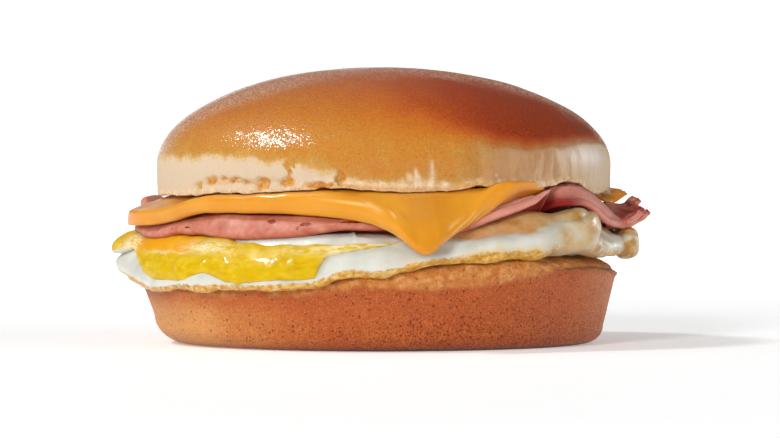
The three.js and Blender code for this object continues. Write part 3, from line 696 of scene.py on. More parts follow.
def creases(bearings, height):
    """Upright creases of the bun's soft side, as depth in millimetres."""
    rng = np.random.default_rng(SEED)
    depth = np.zeros_like(bearings)
    for _ in range(CREASE_COUNT):
        at = rng.uniform(0, 360)
        shown = around(CREASES_SHOWN, np.array([at]))[0]
        width = rng.uniform(0.3, 1.1)
        strength = rng.uniform(0.04, 0.42) ** 1.2 * shown
        low, high = rng.uniform(33, 38), rng.uniform(39, 44.5)
        slant = rng.uniform(-0.35, 0.35)
        line = beside(bearings, at + slant * (height - 38), width)
        depth += strength * line * smooth(height, low, low + 1.5) * falling(height, high - 1.5, high)
    return depth


def pit_field(bearings, above_lip):
    """Small torn hollows just over the cut edge, toasted inside."""
    at_lip = place(bearings, CROWN_RADIUS, above_lip)
    bearings = bearings + 0.9 * noise(at_lip, 1.7, 15) + 0.5 * noise(at_lip, 0.8, 16)
    above_lip = above_lip + 0.55 * noise(at_lip, 1.5, 18)
    pits = (beside(bearings, at, half_degrees) * hump(above_lip, up, half_height)
            for at, up, half_degrees, half_height in PITS)
    return smooth(strongest(pits), 0.25, 0.7)


def groove_height(bearings, middle):
    """Wavy height above the lip of the crown's torn groove."""
    return middle + 0.5 * waver(bearings, [9, 14], 1.0)


def groove_toast(bearings, above_lip):
    """Toasted line along the torn groove at the front left, and along the cut edge."""
    line = hump(above_lip, groove_height(bearings, 2.4), 0.4)
    shown = beside(bearings, 231, 9)
    low = hump(above_lip, 0.5, 0.55) * np.maximum(
        past(bearings, 249, 0, 3) * short_of(bearings, 300, -3, 3), 0.35)
    return np.maximum(line * shown, low)


def golden_drips(bearings, height):
    """Places at the front where the golden crust runs further down."""
    drips = []
    for at, low, width in GOLDEN_DRIPS:
        narrow = width * (0.35 + 0.65 * smooth(height, low - 0.5, low + 3))
        drip = beside(bearings, at + 0.4 * np.sin(2 * height), narrow)
        drip = drip * smooth(height, low - 0.8, low + 0.8)
        drips.append(0.4 * smooth(drip, 0.2, 0.7))
    return strongest(drips)


def white_tears(bearings, height):
    """Pale torn streaks where the soft inside shows through the golden front."""
    tears = []
    for at, low, high, width in WHITE_TEARS:
        up = np.clip((height - low) / (high - low), 0, 1)
        narrow = np.maximum(width * (1 - up) ** 1.3, 0.16)
        lean = at + 0.5 * np.sin(up * 5) + 0.8 * up
        tear = beside(bearings, lean, narrow) * falling(up, 0.7, 1)
        tears.append(tear * smooth(height, low - 1.5, low))
    strength = 0.75 + 0.5 * noise(place(bearings, CROWN_RADIUS, height), 0.9, 19, (1, 1, 2))
    return np.clip(strongest(tears) * strength, 0, 1)


def flap_piece():
    """Torn toasted scrap that hangs from the lip at the right, its front edge lower."""
    root, tip = 45.5, 53.6

    def middle(u, v):
        ragged = 0.6 * np.sin(23 * v) * u ** 4
        x = mix(root, tip, u) + 0.5 * np.sin(9 * v) + ragged - 1.6 * v * v
        y = FLAP_MIDDLE_Y + mix(4.6, 1.6, u) * (2 * v - 1) + 0.4 * np.sin(8 * u)
        hang = 3.1 * (1 - v) * smooth(u, -0.1, 0.35) * (1 - 0.55 * smooth(u, 0.65, 1))
        return np.stack([x, y, mix(35.6, 34.5, u) + 0.25 * np.sin(7 * u + 4 * v) - hang], axis=-1)

    def thickness(u, v):
        return FLAP_THICKNESS * (1 - 0.45 * u) * (1 - 0.5 * (2 * v - 1) ** 4)

    flap = patch("flap", 40, 30, middle, thickness)
    points = points_of(flap)
    push(flap, 0.22 * rough(points, 1.6, 17, 2) * smooth(points[:, 0], 49, 52))
    return flap


def heel_piece():
    """Bottom half of the bun: wall that widens upward to a crisp rim, and a pressed soft shoulder."""
    bearing = bearings_round(BUN_SEGMENTS)
    rim = around(HEEL_RIM_HEIGHT, bearing) + 0.2 * rough(place(bearing, 50, 0), 3.2, 21, 3)
    flat = around(HEEL_FLAT_RADIUS, bearing)
    lean = 0.3 - 0.06 * np.cos(np.radians(bearing))
    uneven = 0.25 * waver(bearing, [3, 5, 9], 1.7)
    top = HEEL_CUT_HEIGHT + around(HEEL_SHOULDER_RISE, bearing)
    fuller = around(HEEL_SHOULDER_POWER, bearing)
    corner = around(HEEL_CORNER_HEIGHT, bearing)
    foot = HEEL_FOOT_RADIUS - 0.9 * (corner - HEEL_USUAL_CORNER)

    def wall(height):
        return HEEL_WALL_RADIUS + uneven + lean * (height - HEEL_USUAL_CORNER)

    def ring(radius, height):
        points = place(bearing, radius, height)
        points[:, 0] += HEEL_CENTRE_X
        return points

    rings = [ring(flat * share, HEEL_CUT_HEIGHT) for share in (0, 0.3, 0.6, 0.8, 0.9)]
    for share in np.linspace(0, 1, 26):
        angle = math.pi / 2 * share
        radius = mix(flat, wall(rim), math.sin(angle) ** fuller)
        rings.append(ring(radius, mix(rim, top, math.cos(angle) ** fuller)))
    for share in np.linspace(0.03, 1, 30):
        height = mix(rim, corner, share)
        rings.append(ring(wall(height), height))
    for share in np.linspace(0.1, 1, 10):
        angle = math.pi / 2 * share
        rings.append(ring(mix(foot, wall(corner), math.cos(angle)), corner * (1 - math.sin(angle))))
    rings += [ring(foot * share, 0) for share in (0.8, 0.4, 0)]
    heel = revolved("bun_bottom", np.array(rings))

    points, bearings, radius, height = surface_of(heel)
    above_rim = height - np.interp(bearings, bearing, rim, period=360)
    shown_rim = around(HEEL_RIM_SHOWN, bearings)
    free = smooth(height, 0.3, 2.5)
    outer = smooth(radius, 40, 44)
    shift = 0.3 * free * noise(points, 17, 22) + 0.07 * free * rough(points, 3.5, 23, 2)
    shift += 0.42 * shown_rim * hump(above_rim, -0.15, 0.5) * outer
    shift -= 0.35 * shown_rim * hump(above_rim, 0.9, 0.6) * outer
    shift += 0.3 * smooth(above_rim, 0.2, 1.2) * outer * rough(points, 1.8, 24, 3)
    push(heel, shift)
    points = points_of(heel)
    points[:, 2] = np.maximum(points[:, 2], 0)
    set_points(heel, points)
    above_rim = points[:, 2] - np.interp(bearing_of(points), bearing, rim, period=360)
    heel_fields(heel, points, above_rim, shown_rim)
    return heel


def heel_fields(heel, points, above_rim, shown_rim):
    """Stores where the wall is warm, pored, dark or covered by the shoulder, with painted shade under
    the egg's overhang and painted contact shade at the foot, for its material.
    """
    bearings, height = bearing_of(points), points[:, 2]
    wavy = 0.5 * noise(points, 5, 25) + 0.3 * noise(points, 2, 26)
    soft = around(HEEL_SHOULDER_SOFT, bearings)
    low = around(HEEL_SHOULDER_LOW, bearings)
    give(heel, "shoulder", smooth(above_rim - low + wavy * soft, -0.6 * soft, 0.6 * soft))
    give(heel, "rim_line", shown_rim * hump(above_rim + 0.25 * wavy, 0.1, 0.42))
    # Crust warmth, darker high on the wall at the left: partly crust colour, partly painted shade under
    # the egg's overhang
    warmth_and_shade_above = 0.5 * around(HEEL_WARMER_AND_SHADED_ABOVE, bearings) * smooth(height, 7, 13)
    give(heel, "warmth_and_shade", np.clip(around(HEEL_WARMTH, bearings) + warmth_and_shade_above, 0, 1))
    give(heel, "pores", around(HEEL_PORES, bearings) * (1 - 0.75 * smooth(height, 2.5, 10)))
    give(heel, "low", falling(height, 0.4, 4.5))
    # Painted contact shade along the foot, where the bun meets the floor
    foot = 0.8 * falling(height, 0.2, 0.9)
    give(heel, "foot", foot * around(HEEL_FOOT_SHADE, bearings))


def egg_swell(bearing, radius):
    """Extra thickness of the egg where it is folded, in millimetres."""
    half_width = np.where(radius < EGG_SWELL_RADIUS, *EGG_SWELL_HALF_WIDTHS)
    away = np.clip((radius - EGG_SWELL_RADIUS) / half_width, -1, 1)
    return around(EGG_SWELL, bearing) * np.cos(away * math.pi / 2) ** 2


def egg_rim(bearing):
    """Reach and height of the egg's rim, with its frills."""
    reach = around(EGG_REACH, bearing) + 0.35 * waver(bearing, [13, 19, 29], 0.9)
    height = around(EGG_RIM_HEIGHT, bearing) + 0.45 * waver(bearing, [11, 17, 23], 3.1)
    return reach, height


def egg_middle(t, bearing):
    reach, rim_height = egg_rim(bearing)
    radius, height = draped(EGG_HEIGHT, around(EGG_SHOULDER_RADIUS, bearing), reach, rim_height, t)
    return radius, height + egg_swell(bearing, radius) / 2


def egg_thickness(t, bearing):
    swell = egg_swell(bearing, egg_middle(t, bearing)[0])
    return EGG_THICKNESS + swell - EGG_RIM_THINNING * smooth(t, 0.86, 1)


def egg_top(t, bearing):
    """Radius and height of the egg's upper face over each share of the way to its rim."""
    radius, height = egg_middle(t, bearing)
    ahead = egg_middle(t + STEP, bearing)
    angle = np.arctan2(ahead[1] - height, ahead[0] - radius)
    half = egg_thickness(t, bearing) / 2
    return radius - half * np.sin(angle), height + half * np.cos(angle)


def egg_piece():
    """Egg white: hangs over the heel with a browned lacy rim and two curled folds at the right."""
    squarer = beside(bearings_round(EGG_SEGMENTS), 294, 26)
    rings = slice_rings(egg_middle, egg_thickness, stations_to_rim(0.72, 34), EGG_SEGMENTS,
                        rim_power=mix(1, 0.6, squarer))
    egg = revolved("fried_egg_white", rings)
    egg = combined(egg, [ball("lump", **EGG_LUMP), ball("knob", **EGG_KNOB)])
    _, bearings, radius, _ = surface_of(egg)
    near = np.maximum(beside(bearings, 323, 11), beside(bearings, 352, 8)) * smooth(radius, 40, 44)
    relax(egg, smooth(near, 0.1, 0.5), 14)

    points, bearings, radius, height = surface_of(egg)
    reach, rim = egg_rim(bearings)
    outer = smooth(radius, reach - 9, reach - 4)
    down = normals_of(egg)[:, 2] < 0
    lobe = smooth(near, 0.15, 0.6)
    on_lump = beside(bearings, 326, 8) * smooth(radius, 48.4, 49.6)
    lace = smooth(radius, reach - 2.5, reach - 0.2) * smooth(rim - height, -0.6, 1.3) * (1 - lobe)
    shift = outer * (0.32 * rough(points, 6.5, 41, 2) + 0.1 * rough(points, 2.2, 42, 2))
    shift += lobe * 0.35 * rough(points, 3.4, 43, 2)
    shift += lace * (0.3 * rough(points, 1.9, 44, 3, 0.6) + 0.4 * noise(points, 4, 50) - 0.1)
    fold_line = height - around(EGG_SHADED_TOP_HEIGHT, bearings)
    shift += 0.35 * outer * (hump(fold_line, -0.9, 0.8) - hump(fold_line, 0.3, 0.5))
    push(egg, shift)

    points, _, radius, height = surface_of(egg)
    ragged = 0.4 * noise(points, 1.4, 45) + 0.8 * noise(points, 5, 46)
    ragged = ragged + around(EGG_FRILL_WIDTH, bearings)
    rim_zone = smooth(radius, reach - 4, reach - 1.4) * (1 - lobe)
    brown = smooth(rim - height + ragged, 1.3, 2.0) * rim_zone
    glow = rim_zone * smooth(rim - height + ragged, -0.6, 1.8)
    give(egg, "glow", glow * around(EGG_RIM_GLOW, bearings))
    below = down * (1 - lobe) * smooth(rim - height, -1, 1) * 0.7
    give(egg, "brown", np.clip(np.maximum(brown, below), 0, 1))
    # Painted shade: the egg's top is tinted tan where it runs up under the ham and cheese; further in,
    # random tan patches lie round the back
    line = height - around(EGG_SHADED_TOP_HEIGHT, bearings) + 0.25 * noise(points, 2.5, 49)
    painted_shade_on_top = smooth(line, -0.15, 0.35) * (1 - down) * (1 - on_lump)
    inside = falling(radius, reach - 3.0, reach - 1.6)
    round_back = 0.6 * inside * smooth(noise(points, 9, 47), 0, 0.6) * (1 - beside(bearings, 235, 60))
    give(egg, "tan", np.clip(np.maximum(painted_shade_on_top, round_back), 0, 1))
    give(egg, "cream", near)
    stain = blobs(points, EGG_STAINS) * smooth(0.6 * noise(points, 2.2, 48) + 0.55, 0, 0.6)
    knob_stain = smooth(blobs(points, EGG_KNOB_STAIN) + 0.25 * noise(points, 1.5, 51), 0.45, 0.7)
    give(egg, "stain", np.maximum(stain, knob_stain))
    return egg


def yolk_piece():
    """Broken yolk: a runny pool from under the ham down over the egg's front left."""
    first, last = YOLK_BEARINGS
    lookup = np.linspace(first - 2, last + 2, YOLK_COLUMNS)

    def station_at(edge):
        low, high = np.full_like(lookup, 0.8), np.ones_like(lookup)
        for _ in range(18):
            middle = (low + high) / 2
            over = egg_top(middle, lookup)[1] > edge
            low, high = np.where(over, middle, low), np.where(over, high, middle)
        return low

    low = station_at(around(YOLK_EDGE_HEIGHT, lookup))
    tops = station_at(YOLK_TOP_HEIGHT + 0.3 * waver(lookup, [23, 41], 0.7))
    tops = mix(0.78, np.minimum(tops, low - 0.004), smooth(lookup, 205, 238))

    def closing_at(share):
        return np.sqrt(np.clip(1 - (2 * share - 1) ** 8, 0, 1))

    def where(u, v):
        bearing = mix(first, last, u)
        outer, inner = np.interp(bearing, lookup, low), np.interp(bearing, lookup, tops)
        closing = closing_at(np.clip(u, 0, 1))
        middle = mix(inner, outer, 0.55)
        start, stop = mix(middle, inner, closing), mix(middle, outer, 0.35 + 0.65 * closing)
        return bearing, mix(start, stop, np.clip(v, 0, 1) ** 0.7)

    def middle_at(u, v):
        bearing, t = where(u, v)
        radius, height = egg_top(t, bearing)
        pressed = YOLK_PRESSED_DOWN * falling(t, 0.84, 0.93)
        sink = (YOLK_BULGE - YOLK_DEPTH) / 2 - pressed
        away = (bearing - YOLK_BLISTER["bearing"]) / YOLK_BLISTER["half_width"]
        blister = YOLK_BLISTER["rise"] * np.exp(-away ** 2) * smooth(t, 0.82, 0.94)
        return place(bearing, radius + 0.4 * sink + blister, height + 0.8 * sink + blister)

    def thickness_at(u, v):
        swell = np.sqrt(np.clip(1 - (2 * v - 1) ** 4, 0, 1)) * closing_at(u)
        return mix(YOLK_EDGE_THICKNESS, YOLK_DEPTH + YOLK_BULGE, swell)

    yolk = patch("runny_yolk", YOLK_COLUMNS, YOLK_ROWS, middle_at, thickness_at)
    _, bearings, _, height = surface_of(yolk)
    drops = [0.6 * size * beside(bearings, at, size) * hump(height, level, size)
             for at, level, size in YOLK_DROPS]
    push(yolk, sum(drops))
    points = points_of(yolk)
    waves = 0.24 * rough(points, 5, 61, 2, stretch=(1, 1, 0.7)) + 0.05 * noise(points, 1.6, 62)
    push(yolk, smooth(radius_of(points), 46, 50) * waves)
    yolk_fields(yolk)
    return yolk


def yolk_fields(yolk):
    """Stores where the yolk is veiled with white, wet, deep or pale, the pale streaks partly a painted
    reflection along its ridge, for its material.
    """
    points = points_of(yolk)
    bearings, height = bearing_of(points), points[:, 2]
    tilted = height - 0.33 * (points[:, 0] + 59) + 0.4 * noise(points, 2, 65)
    give(yolk, "veil", short_of(bearings, 188.5, -1, 3) * falling(tilted, 20.9, 21.7))
    give(yolk, "wet", falling(height, 19.6, 20.4))
    deep = smooth(height + 0.5 * noise(points, 4, 63), 20.2, 21.8)
    give(yolk, "deep", deep * short_of(bearings, 222, -4, 4) * past(bearings, 191, -5, 4))
    wavy_level = 21 + 0.4 * noise(points, 2, 64)
    # Pale streaks: partly a painted reflection along the yolk's ridge, partly paler yolk towards the
    # white
    pale = strongest([
        1.1 * beside(bearings, 226, 8) * hump(height, 22.3, 1.3),
        0.75 * beside(bearings, 212, 11) * hump(height, wavy_level, 0.4),
        0.6 * past(bearings, 240, 0, 12) * hump(height, 22.2, 1.1),
        1.3 * past(bearings, 255, 0, 5),
        1.2 * beside(bearings, 190.5, 3.2) * smooth(height, 20, 21.5),
    ])
    give(yolk, "pale", np.clip(pale, 0, 1))


def fold(radius, ridge, inner_width, reach):
    """Share of a fold's rise: 1 on its ridge, 0 at its inner foot and at the rim."""
    width = np.where(radius < ridge, inner_width, np.maximum(reach - ridge, 0.1))
    return np.cos(np.clip((radius - ridge) / width, -1, 1) * math.pi / 2) ** 2


def lower_ham_middle(t, bearing):
    reach = around(LOWER_HAM_REACH, bearing) + 0.3 * waver(bearing, [7, 13], 1.1)
    rim_height = around(LOWER_HAM_RIM_HEIGHT, bearing)
    fold_radius = around(LOWER_HAM_FOLD_RADIUS, bearing)
    shoulder = np.minimum(SLICE_SHOULDER_RADIUS, 0.9 * reach)
    radius, height = draped(LOWER_HAM_HEIGHT, shoulder, reach, rim_height, t)
    at_ridge = draped(LOWER_HAM_HEIGHT, shoulder, reach, rim_height, fold_radius / reach)[1]
    rise = np.maximum(0, around(LOWER_HAM_RIDGE_HEIGHT, bearing) - at_ridge)
    return radius, height + rise * fold(radius, fold_radius, LOWER_HAM_FOLD_WIDTH, reach)


def ham_curl():
    """Torn end that curls up on both sides into a trough, with ragged fibres at its tip."""
    def middle(u, v):
        across = 2 * v - 1
        fibres = np.sin(13 * v) * 0.8 + 0.5 * np.sin(41 * v + 1) + 0.35 * np.sin(67 * v + 2)
        near, far = mix(*HAM_CURL["near"], u), mix(*HAM_CURL["far"], u)
        lift = np.where(across < 0, near, far) * np.abs(across) ** 1.7
        x = mix(*HAM_CURL["x"], u) + fibres * np.maximum(u, 0) ** 3 - 1.6 * across ** 2 * u
        y = HAM_CURL["y"] + mix(*HAM_CURL["half_width"], u) * across
        return np.stack([x, y, mix(*HAM_CURL["height"], u ** 4) + lift], axis=-1)

    curl = patch("curl", 60, 90, middle, lambda u, v: mix(HAM_THICKNESS, HAM_TORN_THICKNESS, u))
    points = points_of(curl)
    torn = smooth(points[:, 0], 51.5, 56)
    ridges = rough(points, 1.5, 71, 2, stretch=(3.2, 1, 1))
    push(curl, torn * 0.42 * ridges)
    return curl


def ham_fields(ham):
    """Stores the ham's marks, where it is fair, and where its undersides are painted red as shade, for
    its material.
    """
    _, bearings, _, height = surface_of(ham)
    marks = (beside(bearings, at, half_degrees) * hump(height, level, half_height)
             for at, level, half_degrees, half_height in HAM_MARKS)
    give(ham, "mark", strongest(marks))
    fair = past(bearings, 288, 0, 10) + 0.5 * short_of(bearings, 204, -6, 6)
    give(ham, "fair", np.clip(fair, 0, 1))
    # Painted red shade on the undersides, which face down
    under = smooth(-normals_of(ham)[:, 2], 0.25, 0.85)
    give(ham, "red", 0.8 * under * falling(bearings, 335, 345))


def lower_ham_piece():
    """Lower ham slice: arches over the folded egg at the right and ends in a torn curl."""
    rings = slice_rings(lower_ham_middle, lambda t, bearing: HAM_THICKNESS + 0 * bearing,
                        stations_to_rim(0.7, 28), LOWER_HAM_SEGMENTS)
    ham = combined(revolved("ham_low", rings), [ham_curl()])
    points = points_of(ham)
    near = beside(bearing_of(points), 354, 12) * smooth(points[:, 0], 44, 47)
    near = near * falling(points[:, 0], 53, 55)
    relax(ham, near, 10)
    undulate(ham, (40, 44), [(0.12, 6, 73), (0.05, 1.7, 74)])
    ham_fields(ham)
    points = points_of(ham)
    top = normals_of(ham)[:, 2] > -0.2
    torn = smooth(points[:, 0], 51.5, 54) * top * hump(points[:, 1], -5, 11)
    give(ham, "torn", torn)
    bearings, height = bearing_of(points), points[:, 2]
    give(ham, "shade", 0.35 * past(bearings, 330, -20, 0) * falling(points[:, 0], 50, 54))
    # Painted contact shade, dark and broken, along the top of the ridge where it meets the crown
    over_ridge = height - around(LOWER_HAM_RIDGE_HEIGHT, bearings) - HAM_THICKNESS / 2
    give(ham, "painted_contact_shade", beside(bearings, 333, 14) * smooth(over_ridge, -0.75, -0.1) * (height > 30))
    # Painted dark shade in the cavity under the arch
    painted_cave_shade = short_of(bearings, 326, -5, 4) * past(bearings, 300, 0, 8)
    give(ham, "painted_cave_shade", painted_cave_shade * falling(height, 31.6, 35))
    return ham


def upper_ham_piece():
    """Upper ham slice: hangs over the egg at the front left and ends in a small fold."""
    def middle(t, bearing):
        reach = around(UPPER_HAM_REACH, bearing) + 0.25 * waver(bearing, [9, 15], 2.7)
        rim_height = around(UPPER_HAM_RIM_HEIGHT, bearing) + 0.2 * waver(bearing, [8, 21], 0.4)
        drop_width = around(UPPER_HAM_DROP_WIDTH, bearing)
        radius, height = draped(UPPER_HAM_HEIGHT, reach - drop_width, reach, rim_height, t)
        ridge = around(UPPER_HAM_FOLD_RADIUS, bearing)
        rise = around(UPPER_HAM_FOLD_RISE, bearing) * fold(radius, ridge, UPPER_HAM_FOLD_WIDTH, reach)
        return radius, height + rise

    def thickness(t, bearing):
        end = past(bearing, 307, 0, 11) * short_of(bearing, 330, 0, 20)
        return HAM_THICKNESS * (1 - 0.8 * smooth(t, 0.85, 1) * end)

    rings = slice_rings(middle, thickness, stations_to_rim(0.72, 26), UPPER_HAM_SEGMENTS, rim_steps=28)
    ham = revolved("ham_high", rings)
    undulate(ham, (40, 44), [(0.14, 7, 81), (0.05, 1.8, 82)])
    ham_fields(ham)
    bearings = bearing_of(points_of(ham))
    for name in ("torn", "painted_contact_shade"):
        give(ham, name, np.zeros(len(bearings)))
    give(ham, "shade", 0.9 * past(bearings, 314.5, 0, 3) * short_of(bearings, 335, 0, 5))
    # Painted dark shade on the underside of the fold's end, over the cavity
    below = smooth(-normals_of(ham)[:, 2], 0.35, 0.7)
    give(ham, "painted_cave_shade", below * past(bearings, 303, 0, 6) * short_of(bearings, 330, 0, 20))
    return ham


def cheese_piece(crown_lip):
    """Melted cheese slice: a corner hangs down in front, one stands out at the left."""
    def middle(t, bearing):
        reach = around(CHEESE_REACH, bearing)
        shoulder = np.minimum(around(CHEESE_SHOULDER_RADIUS, bearing), 0.9 * reach)
        return draped(CHEESE_HEIGHT, shoulder, reach, around(CHEESE_RIM_HEIGHT, bearing), t)

    def thickness(t, bearing):
        return mix(CHEESE_THICKNESS, around(CHEESE_RIM_THICKNESS, bearing), smooth(t, 0.87, 1))

    around_it = bearings_round(CHEESE_SEGMENTS)
    corner = beside(around_it, CHEESE_TIP_BEARING, 8)
    slab = beside(around_it, 192, 14)
    rings = slice_rings(middle, thickness, stations_to_rim(0.66, 26), CHEESE_SEGMENTS,
                        rim_steps=32, rim_power=mix(0.72, 1.1, corner) - 0.36 * slab)
    cheese = revolved("cheese_melt", rings)
    undulate(cheese, (40, 45), [(0.14, 9, 91), (0.05, 3, 92)])
    points = points_of(cheese)
    crease = hump(points[:, 2], np.interp(points[:, 0], *CHEESE_CREASE), 0.5) * (points[:, 1] < -40)
    crease *= smooth(points[:, 0], -22, -12) * falling(points[:, 0], 4.3, 6.5)
    push(cheese, 0.3 * crease)
    points = points_of(cheese)
    bearings, radius = bearing_of(points), radius_of(points)
    room = np.interp(bearings, *crown_lip, period=360) - CHEESE_LIP_GAP
    room = room - CHEESE_HEIGHT - CHEESE_THICKNESS / 2
    below = CHEESE_HEIGHT + CHEESE_THICKNESS / 2 - points[:, 2]
    lift = np.clip(room, 0, 1.6) * smooth(radius, 41, 44.5) * falling(np.abs(below), 0.3, 4)
    points[:, 2] += lift * smooth(normals_of(cheese)[:, 2], -0.6, 0.5)
    corner = beside(bearings, CHEESE_LEFT["bearing"], CHEESE_LEFT["width"]) * smooth(radius, 47, 53.5)
    leaning = CHEESE_LEFT["lean"] * corner * (CHEESE_LEFT["upright_at"] - points[:, 2])
    points[:, :2] *= (1 + leaning / radius)[:, None]
    set_points(cheese, points)
    cheese_fields(cheese, radius)
    return cheese


def cheese_fields(cheese, radius):
    """Stores where the cheese is deep or tan, where a pink reflection and highlight streaks are painted,
    and where painted shade darkens its underside, for its material.

    The radius of each point is the one before the left corner leans out.
    """
    points, bearings, final_radius, height = surface_of(cheese)
    up = smooth(normals_of(cheese)[:, 2], 0.6, 0.9)
    # Painted pink reflection on the upward face at the left
    give(cheese, "painted_pink_reflection", up * beside(bearings, 193, 9) * smooth(radius, 46, 48.5))
    give(cheese, "deep", beside(bearings, 188, 9) * smooth(final_radius, 48, 53))
    # Painted highlights: streaks on the hanging corner's right face, and a bright line along the crease
    along = points[:, 0] * 0.72 + height * 0.69
    across = height * 0.72 - points[:, 0] * 0.69 + 0.2 * noise(points, 6, 93)
    shown = smooth(along, 27.5, 29) * falling(along, 34, 36) * (points[:, 1] < -44)
    streak = strongest(hump(across, at, 0.16) for at in (9.3, 8.1, 7.2, 6.4))
    bright = hump(height, np.interp(points[:, 0], *CHEESE_CREASE) + 0.1, 0.28) * (points[:, 1] < -40)
    bright *= smooth(points[:, 0], -17, -6) * falling(points[:, 0], 2.5, 4.5)
    give(cheese, "streak", np.maximum(streak * shown, 1.5 * bright))
    tip = 0.8 * beside(bearings, 278.5, 3.5) * smooth(height, 26, 30)
    give(cheese, "tan", tip * falling(radius, 57, 59))
    # Painted shade on the underside at the right
    under = smooth(-normals_of(cheese)[:, 2], -0.15, 0.5)
    give(cheese, "under", under * beside(bearings, 305, 9) * smooth(radius, 38, 42))
    give(cheese, "ridge", beside(bearings, 303, 9) * smooth(height, 30, 32))
    reach = around(CHEESE_REACH, bearings)
    edge = smooth(final_radius, reach - 0.5, reach + 1.2)
    give(cheese, "edge", edge * (1 - beside(bearings, 280, 9)))


def colour(red, green, blue):
    """Shader colour of an 8-bit display colour."""
    def linear(value):
        share = value / 255
        return share / 12.92 if share <= 0.04045 else ((share + 0.055) / 1.055) ** 2.4
    return (linear(red), linear(green), linear(blue), 1)


class Look:
    """Builds one material's nodes."""

    def __init__(self, name):
        self.material = bpy.data.materials.new(name)
        self.material.use_nodes = True
        self.tree = self.material.node_tree
        self.surface = self.tree.nodes["Principled BSDF"]
        self.coordinates = self.node("TexCoord").outputs["Object"]

    def node(self, kind, inputs=None, **settings):
        made = self.tree.nodes.new("ShaderNode" + kind)
        for name, value in settings.items():
            setattr(made, name, value)
        for key, value in (inputs or {}).items():
            self.put(made.inputs[key], value)
        return made

    def put(self, socket, value):
        """Links a socket or sets it, a colour of three numbers being an 8-bit display colour."""
        if isinstance(value, bpy.types.NodeSocket):
            self.tree.links.new(value, socket)
        elif socket.type == "RGBA" and len(value) == 3:
            socket.default_value = colour(*value)
        else:
            socket.default_value = value

    def field(self, name, strength=None):
        """The value stored for each point, times a strength."""
        value = self.node("Attribute", attribute_name=name).outputs["Fac"]
        return value if strength is None else self.times(value, strength)

    def stretched(self, scale):
        return self.node("Mapping", {"Vector": self.coordinates, "Scale": scale}).outputs["Vector"]

    def grain(self, size, detail=2.0, roughness=0.5, stretch=None, distortion=0.0):
        """Noise from 0 to 1 whose bumps are about size millimetres."""
        vector = self.stretched(stretch) if stretch else self.coordinates
        inputs = {"Vector": vector, "Scale": 1 / (size * MM), "Detail": detail, "Roughness": roughness}
        return self.node("TexNoise", inputs | {"Distortion": distortion}).outputs["Fac"]

    def cells(self, size, vector=None):
        """Outputs of round cells about size millimetres across."""
        vector = vector or self.coordinates
        return self.node("TexVoronoi", {"Vector": vector, "Scale": 1 / (size * MM)}).outputs

    def maths(self, operation, a, b=0.0, c=0.0, clamp=False):
        made = self.node("Math", {0: a, 1: b, 2: c}, operation=operation, use_clamp=clamp)
        return made.outputs[0]

    def times(self, a, b):
        return self.maths("MULTIPLY", a, b)

    def centred(self, noise_value, span):
        """Noise from 0 to 1 turned to run from -span / 2 to span / 2."""
        return self.maths("MULTIPLY_ADD", noise_value, span, -span / 2)

    def between(self, value, low, high, to_low=0.0, to_high=1.0):
        """Turns the range from low to high softly into the one from to_low to to_high."""
        made = self.node("MapRange", {
            "Value": value, "From Min": low, "From Max": high, "To Min": to_low, "To Max": to_high,
        }, interpolation_type="SMOOTHSTEP")
        return made.outputs["Result"]

    def broken(self, name, value, low, high, to_low=0.0, to_high=1.0):
        """A field broken up by noise turned from one range to another."""
        return self.times(self.field(name), self.between(value, low, high, to_low, to_high))

    def blend(self, share, a, b, kind="MIX"):
        made = self.node("Mix", data_type="RGBA", blend_type=kind)
        self.put(made.inputs[0], share)
        self.put(made.inputs[6], a)
        self.put(made.inputs[7], b)
        return made.outputs[2]

    def layers(self, tone, coats):
        """Lays colours over a tone one after the other, each by its share."""
        for share, value in coats:
            tone = self.blend(share, tone, value)
        return tone

    def ramp(self, share, stops):
        made = self.node("ValToRGB", {"Fac": share})
        elements = made.color_ramp.elements
        while len(elements) < len(stops):
            elements.new(0.5)
        for element, (position, value) in zip(elements, stops):
            element.position, element.color = position, colour(*value)
        return made.outputs["Color"]

    def bump(self, height, depth, normal=None):
        """Relief whose full height is depth millimetres."""
        inputs = {"Height": height, "Distance": depth * MM}
        if normal is not None:
            inputs["Normal"] = normal
        return self.node("Bump", inputs).outputs["Normal"]

    def finish(self, **sockets):
        for name, value in sockets.items():
            self.put(self.surface.inputs[name.replace("_", " ")], value)
        return self.material


